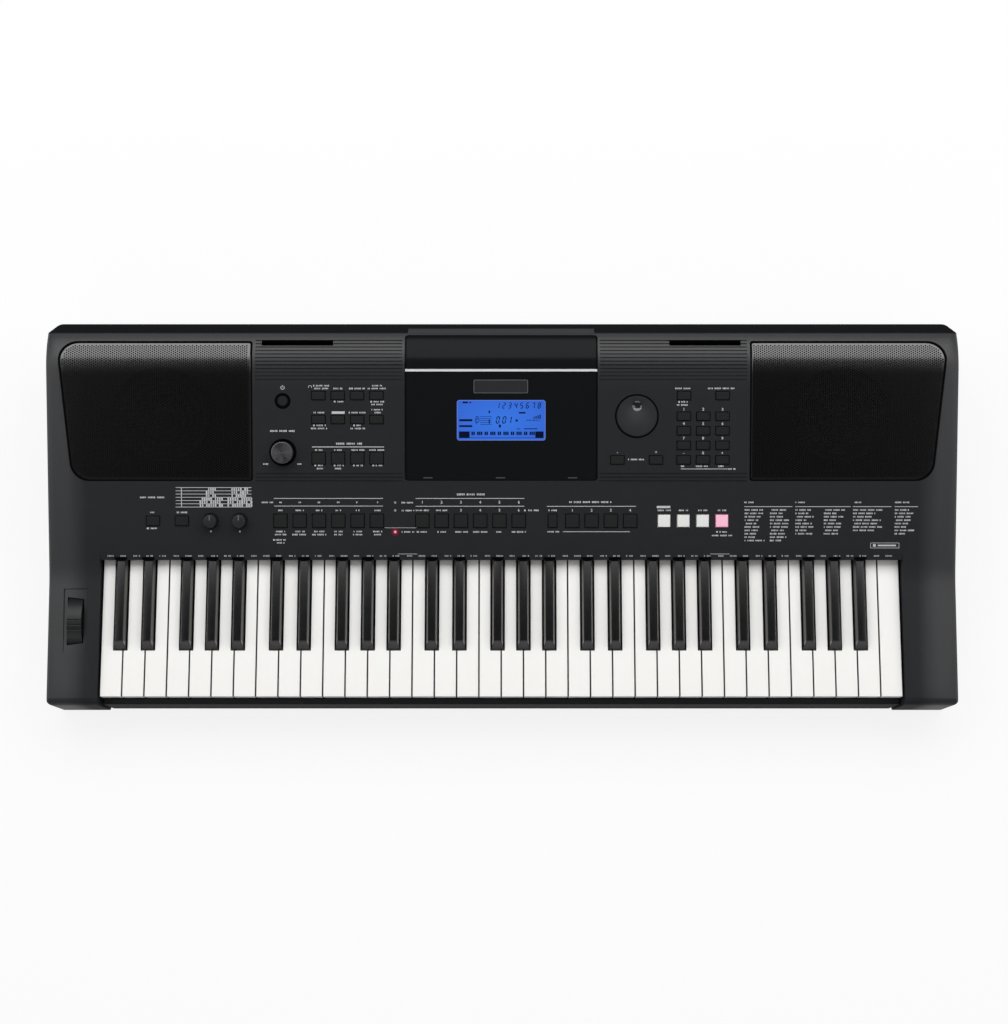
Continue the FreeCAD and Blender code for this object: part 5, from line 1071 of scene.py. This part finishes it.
# %% Clef
CLEF_POINTS, CLEF_HALF_X, CLEF_HALF_Y = 40, 0.25, 0.2
clef_turn = np.linspace(0, 3.4 * math.pi, CLEF_POINTS)
clef_radius = 0.6 + 0.17 * clef_turn
clef_edges = np.array([[1], [-1]])
clef_x = -24.6 + (clef_radius + CLEF_HALF_X * clef_edges) * np.cos(clef_turn)
clef_y = 0.3 + 1.9 * (clef_radius + CLEF_HALF_Y * clef_edges) * np.sin(clef_turn)
clef = on_panel(clef_x, SCREEN_ROW + clef_y, SEGMENT_LIFT)
make_piece("screen_clef", clef.reshape(-1, 3), grid_faces(2, CLEF_POINTS)[:, ::-1], segment_ink)
print("clef:", CLEF_POINTS, "steps of a spiral")

# %% [markdown]
# ## Frame of the window
# The window in the black acrylic has rounded corners and a thin pale edge, a painted glow where the
# display's light catches its bevel. Both are strips between two loops with the same number of points: one
# from the sharp opening to the rounded one, one along the rounded edge.

# %% Window frame
def loop_strip(outer, inner, height_out, height_in):
    """Quads between two closed loops of panel points, the outer first, each at its own height."""
    rows = np.stack([outer, inner])
    points = on_panel(rows[..., 0], rows[..., 1], np.array([[height_out], [height_in]]))
    return points.reshape(-1, 3), grid_faces(2, len(outer), wrap=True)


def rounded_box(centre, width, depth, radius, steps=9):
    """A rectangle with rounded corners round a point of the panel."""
    return rounded_outline(SQUARE * [width, depth], [radius] * 4, steps) + centre


frame_black = moulded("window_black", shade(12, 13, 15), 0.3, 900.0, 0.1, 0.002, specular=0.25)
edge_glow, tree, shader, where = new_material("window_edge")
# Painted glow: the bevel's emission stands for the display's light on it.
edge_tone = blend(tree, noise(tree, where, 260.0), shade(112, 140, 240), shade(150, 164, 246))
connect(tree, shader, {"Base Color": (0.02, 0.03, 0.08, 1), "Emission Color": edge_tone,
                       "Emission Strength": 0.8, "Roughness": 0.35})
screen_middle = (0, SCREEN_ROW)
opening = rounded_box(screen_middle, SCREEN_W, SCREEN_D, 0.05)
window = rounded_box(screen_middle, SCREEN_W - 0.4, SCREEN_D - 0.4, 2.6)
inner_edge = rounded_box(screen_middle, SCREEN_W - 1.2, SCREEN_D - 1.2, 2.2)
make_piece("window_frame", *loop_strip(opening, window, -1.0, -1.2), frame_black, slot="display_gloss")
make_piece("window_edge", *loop_strip(window, inner_edge, -1.2, -1.9), edge_glow, slot="display_glass")
print("window frame and edge made")

# %% [markdown]
# ## The bare plaque
# Between the silver strip and the window the acrylic carries a small plaque. It stays bare: a dark satin
# field with a thin lighter border.

# %% Plaque
PLAQUE_X, PLAQUE_ROW, PLAQUE_W, PLAQUE_D = -0.4, 171.9, 56.2, 13.9
GLOSS_TOP = -0.4
plaque_satin = moulded("plaque_satin", shade(30, 31, 33), 0.45, 700.0, 0.12, 0.004, specular=0.3)
plaque_line = moulded("plaque_line", shade(86, 88, 92), 0.5, 1200.0, 0.08, 0.003)


def plaque_loop(inset, radius):
    """The plaque's outline, an inset in from its edge, with rounded corners."""
    return rounded_box((PLAQUE_X, PLAQUE_ROW), PLAQUE_W - 2 * inset, PLAQUE_D - 2 * inset, radius, 5)


field = plaque_loop(0.5, 1.0)
make_piece("plaque_field", on_panel(*field.T, GLOSS_TOP + 0.1), [range(len(field))], plaque_satin,
           slot="display_gloss")
border = loop_strip(plaque_loop(0, 1.4), plaque_loop(0.55, 1.0), GLOSS_TOP + 0.1, GLOSS_TOP + 0.12)
make_piece("plaque_border", *border, plaque_line, slot="display_gloss")
print("plaque of", PLAQUE_W, "by", PLAQUE_D, "mm")

# %% [markdown]
# ## Pilot lamps
# Three small lamps beside the section buttons tell which bank is in use, and the lowest is lit. A lamp
# is a low dome, and the lit one stands on a flat disc: a profile turned about its axis. The disc carries
# a painted glow that fades outwards, which a colour by the distance from the lamp's own middle gives.

# %% Turned pieces
def turned(profile, x, row, count=32, waves=0):
    """Carry radius and height pairs round an axis square to the panel; the last ring is closed by one face.
    A third column is a swing of the radius: it is added times the cosine of waves times the angle."""
    profile = np.asarray(profile, float)
    angle = 2 * math.pi * np.arange(count) / count
    radius = profile[:, :1] + profile[:, 2:] * np.cos(waves * angle) if waves else profile[:, :1]
    height = np.broadcast_to(profile[:, 1:2], (len(profile), count))
    points = on_panel(x + radius * np.cos(angle), row + radius * np.sin(angle), height)
    faces = grid_faces(len(profile), count, wrap=True).tolist()
    faces.append(list(range((len(profile) - 1) * count, len(profile) * count)))
    return points.reshape(-1, 3), faces


def dome(radius, base, rise, rings=6):
    """A low dome: the radius falls as a cosine and the height rises as a sine over a quarter turn."""
    step = np.linspace(0, 0.46 * math.pi, rings)
    return np.stack([radius * np.cos(step), base + rise * np.sin(step)], -1)


DOME_RADIUS, DOME_RISE = 1.3, 0.5
lamp_off = moulded("lamp_off", shade(142, 136, 138), 0.3, 900.0, 0.1, 0.003)
lamp_lit, tree, shader, where = new_material("lamp_lit")
lamp_point = on_panel(LAMP_X, LAMP_ROWS[2], 0.0) * MM
from_lamp = length(tree, moved(tree, where, tuple(-lamp_point)))
# Painted glow: the disc round the lit lamp glows red, fading outwards.
glow_fade = ramp(tree, from_lamp, 0.0006, 0.002, kind="SMOOTHSTEP")
speck = add(tree, "TexNoise", {"Vector": where, "Scale": 1500.0}).outputs["Color"]
red = blend(tree, glow_fade, shade(255, 168, 190), shade(88, 14, 34))
connect(tree, shader, {"Base Color": shade(60, 8, 16), "Roughness": 0.25, "Emission Strength": 1.0,
                       "Emission Color": blend(tree, 0.15, red, speck, "MULTIPLY")})
dark_lamps = [turned(dome(DOME_RADIUS, 0.02, DOME_RISE), LAMP_X, row, 16) for row in LAMP_ROWS[:2]]
make_piece("lamps_off", *join(dark_lamps), lamp_off, smooth_angle=40)
lens = np.concatenate([[(3.9, 0.02), (2.4, 0.12)], dome(DOME_RADIUS, 0.12, DOME_RISE)])
make_piece("lamp_lit", *turned(lens, LAMP_X, LAMP_ROWS[2], 24), lamp_lit, smooth_angle=40)
print("lamps:", len(LAMP_ROWS))

# %% [markdown]
# ## The volume knob's cap
# The volume knob ends in a metal cap that is brushed outwards from its middle. Such a surface throws the
# softboxes into bow-tie highlights. Anisotropic reflection gives that, if its tangent runs round the cap,
# so the cap has a UV map whose U is the angle, as a share of a turn, and whose V is the radius, as a share
# of the rim's. A small dark notch points at the setting.

# %% Volume cap
VOLUME = (STANDBY_X, 103.8)
CAP_TOP, CAP_BEVEL, CAP_DISH, CAP_SIDES = 11.3, 10.78, 0.12, 64
cap_metal, tree, shader, where = new_material("cap_metal")
spun = add(tree, "UVMap", uv_map="around").outputs[0]
strokes = noise(tree, moved(tree, spun, stretch=(90.0, 2.0, 1.0)), 1.0)
around = add(tree, "Tangent", direction_type="UV_MAP", uv_map="around").outputs[0]
connect(tree, shader, {"Base Color": blend(tree, strokes, shade(72, 72, 76), shade(112, 112, 116)),
                       "Metallic": 1.0, "Roughness": ramp(tree, strokes, 0, 1, 0.26, 0.36),
                       "Anisotropic": 0.95, "Normal": bump(tree, strokes, 0.003), "Tangent": around})
cap_profile = [(10.9, 10.6), (10.9, 11.22), (CAP_BEVEL, CAP_TOP)]
cap_profile += [(radius, CAP_TOP - CAP_DISH * (1 - (radius / CAP_BEVEL) ** 2))
                for radius in np.linspace(10, 0.25, 18)]
rim_share = np.array(cap_profile)[:, :1] / cap_profile[0][0]
cap_uv = np.stack(np.broadcast_arrays(np.arange(CAP_SIDES) / CAP_SIDES, rim_share), -1).reshape(-1, 2)
make_piece("volume_cap", *turned(cap_profile, *VOLUME, CAP_SIDES), cap_metal, "master_volume_knob",
           "knob_metal", 35, cap_uv)
notch_ink = moulded("notch_ink", shade(24, 24, 26), 0.5, 1500.0, 0.1, 0.003)
notch = panel_patches([(VOLUME[0], VOLUME[1] + 7.6, 1.5, 3.6)], CAP_TOP + 0.04)
make_piece("volume_notch", *notch, notch_ink, "master_volume_knob", "knob_plastic")
print("volume cap:", len(cap_profile), "rings")

# %% [markdown]
# ## Fluted caps of the live knobs
# The two live knobs are small and dark, with flutes for the fingers and a line that points at the setting.
# The cap is a turned form whose radius swings with the angle: sixteen shallow waves fade out towards the
# top.

# %% Live knob caps
LIVE_KNOBS = {"live_knob_a": -301.3, "live_knob_b": -271.3}
LIVE_ROW, FLUTE, FLUTE_COUNT = 32.7, 0.22, 16
line_ink = moulded("line_ink", shade(104, 105, 107), 0.6, 1500.0, 0.06, 0.004)
flute_profile = [(7.1, 0.3, FLUTE), (6.95, 9.6, FLUTE), (6.75, 10.6, 0.8 * FLUTE), (6.3, 11.1, 0.4 * FLUTE),
                 (5.6, 11.25, 0), (1.0, 11.3, 0)]
for body, x in LIVE_KNOBS.items():
    make_piece(f"{body}_cap", *turned(flute_profile, x, LIVE_ROW, 96, FLUTE_COUNT), knob_plastic, body,
               "knob_plastic", 50)
    make_piece(f"{body}_line", *panel_patches([(x, LIVE_ROW + 3.6, 0.9, 4.8)], 11.33), line_ink, body)
make_piece("live_knob_marks", *discs([(x, 21.7) for x in LIVE_KNOBS.values()], 0.9), ink)
print("live knob caps:", len(LIVE_KNOBS))

# %% [markdown]
# ## Wells, dimple and small dark lines
# The volume knob, the dial and the standby button each stand in a shallow well, which reads as a black
# ring. A black ring of painted shade lies at its bottom, and the volume knob has a second ring of
# painted shade on the panel round its well. The dial has a polished finger dimple, part of a sphere, in
# which the softboxes show as bright spots. The display panel is set in a black line, a strip of painted
# shade in its gap, and three small catches glint at its front edge.

# %% Shade rings and dimple
DIAL = (140.4, 141.3)
BOWL, BOWL_RIM, BOWL_LOW, BOWL_OFF = 11.87, 5.1, 1.23, 10.5
well_shade = moulded("well_shade", shade(7, 7, 8), 0.95, 3000.0, 0.3, 0.03, specular=0.03)


def washer(centre, inner, outer, height, count=64):
    """A flat ring on the panel: two loops of points, the outer first, at one height."""
    return loop_strip(centre + outer * circle(count), centre + inner * circle(count), height, height)


# Painted shade: black rings at the bottoms of the wells and round the volume knob's well.
wells = [washer(VOLUME, 11.4, 12.85, -1.3), washer(DIAL, 21.2, 22.65, -1.3),
         washer((STANDBY_X, 156.9), 6.0, 8.25, -0.9), washer(VOLUME, 12.8, 14.2, 0.03)]
make_piece("well_shade_rings", *join(wells), well_shade)
dimple_gloss = moulded("dimple_gloss", shade(16, 16, 17), 0.12, 1200.0, 0.1, 0.001, 0.05, 1.0)
bowl_radius = np.linspace(BOWL_RIM, 0.2, 12)
bowl = np.stack([bowl_radius, BOWL_LOW + BOWL - np.sqrt(BOWL ** 2 - bowl_radius ** 2)], -1)
make_piece("dial_dimple", *turned(bowl, DIAL[0], DIAL[1] + BOWL_OFF, 48), dimple_gloss, "data_dial",
           "knob_plastic", 40)
print("washers:", len(wells), "and one dimple")

# %% Display line and catches
DISPLAY_HALF, DISPLAY_FRONT, DISPLAY_REAR = 99.2, 28.1, 175.7
LINE_WIDTH, LINE_LOW, LINE_STEPS = 1.1, 0.34, 40
line_rows = np.linspace(DISPLAY_FRONT + 0.6, DISPLAY_REAR - 0.6, LINE_STEPS)
line_parts = []
for edge in (-DISPLAY_HALF, DISPLAY_HALF - LINE_WIDTH):
    plan = np.stack(np.meshgrid([PANEL_X + edge, PANEL_X + edge + LINE_WIDTH], line_rows), -1)
    line_parts.append((on_skin(plan, LINE_LOW), grid_faces(LINE_STEPS, 2)))
# Painted shade: a black strip in the gap along the display panel's sides.
make_piece("display_line", *join(line_parts), gap_shade, slot="display_gloss")
catch_satin = moulded("catch_satin", shade(58, 56, 57), 0.4, 900.0, 0.1, 0.003)
catches = [(x, 77.4, 9.5, 1.4) for x in (-75.9, -0.6, 74)]
make_piece("display_catches", *panel_patches(catches, GLOSS_TOP + 0.06), catch_satin, slot="display_gloss")
print("display line and", len(catches), "catches")
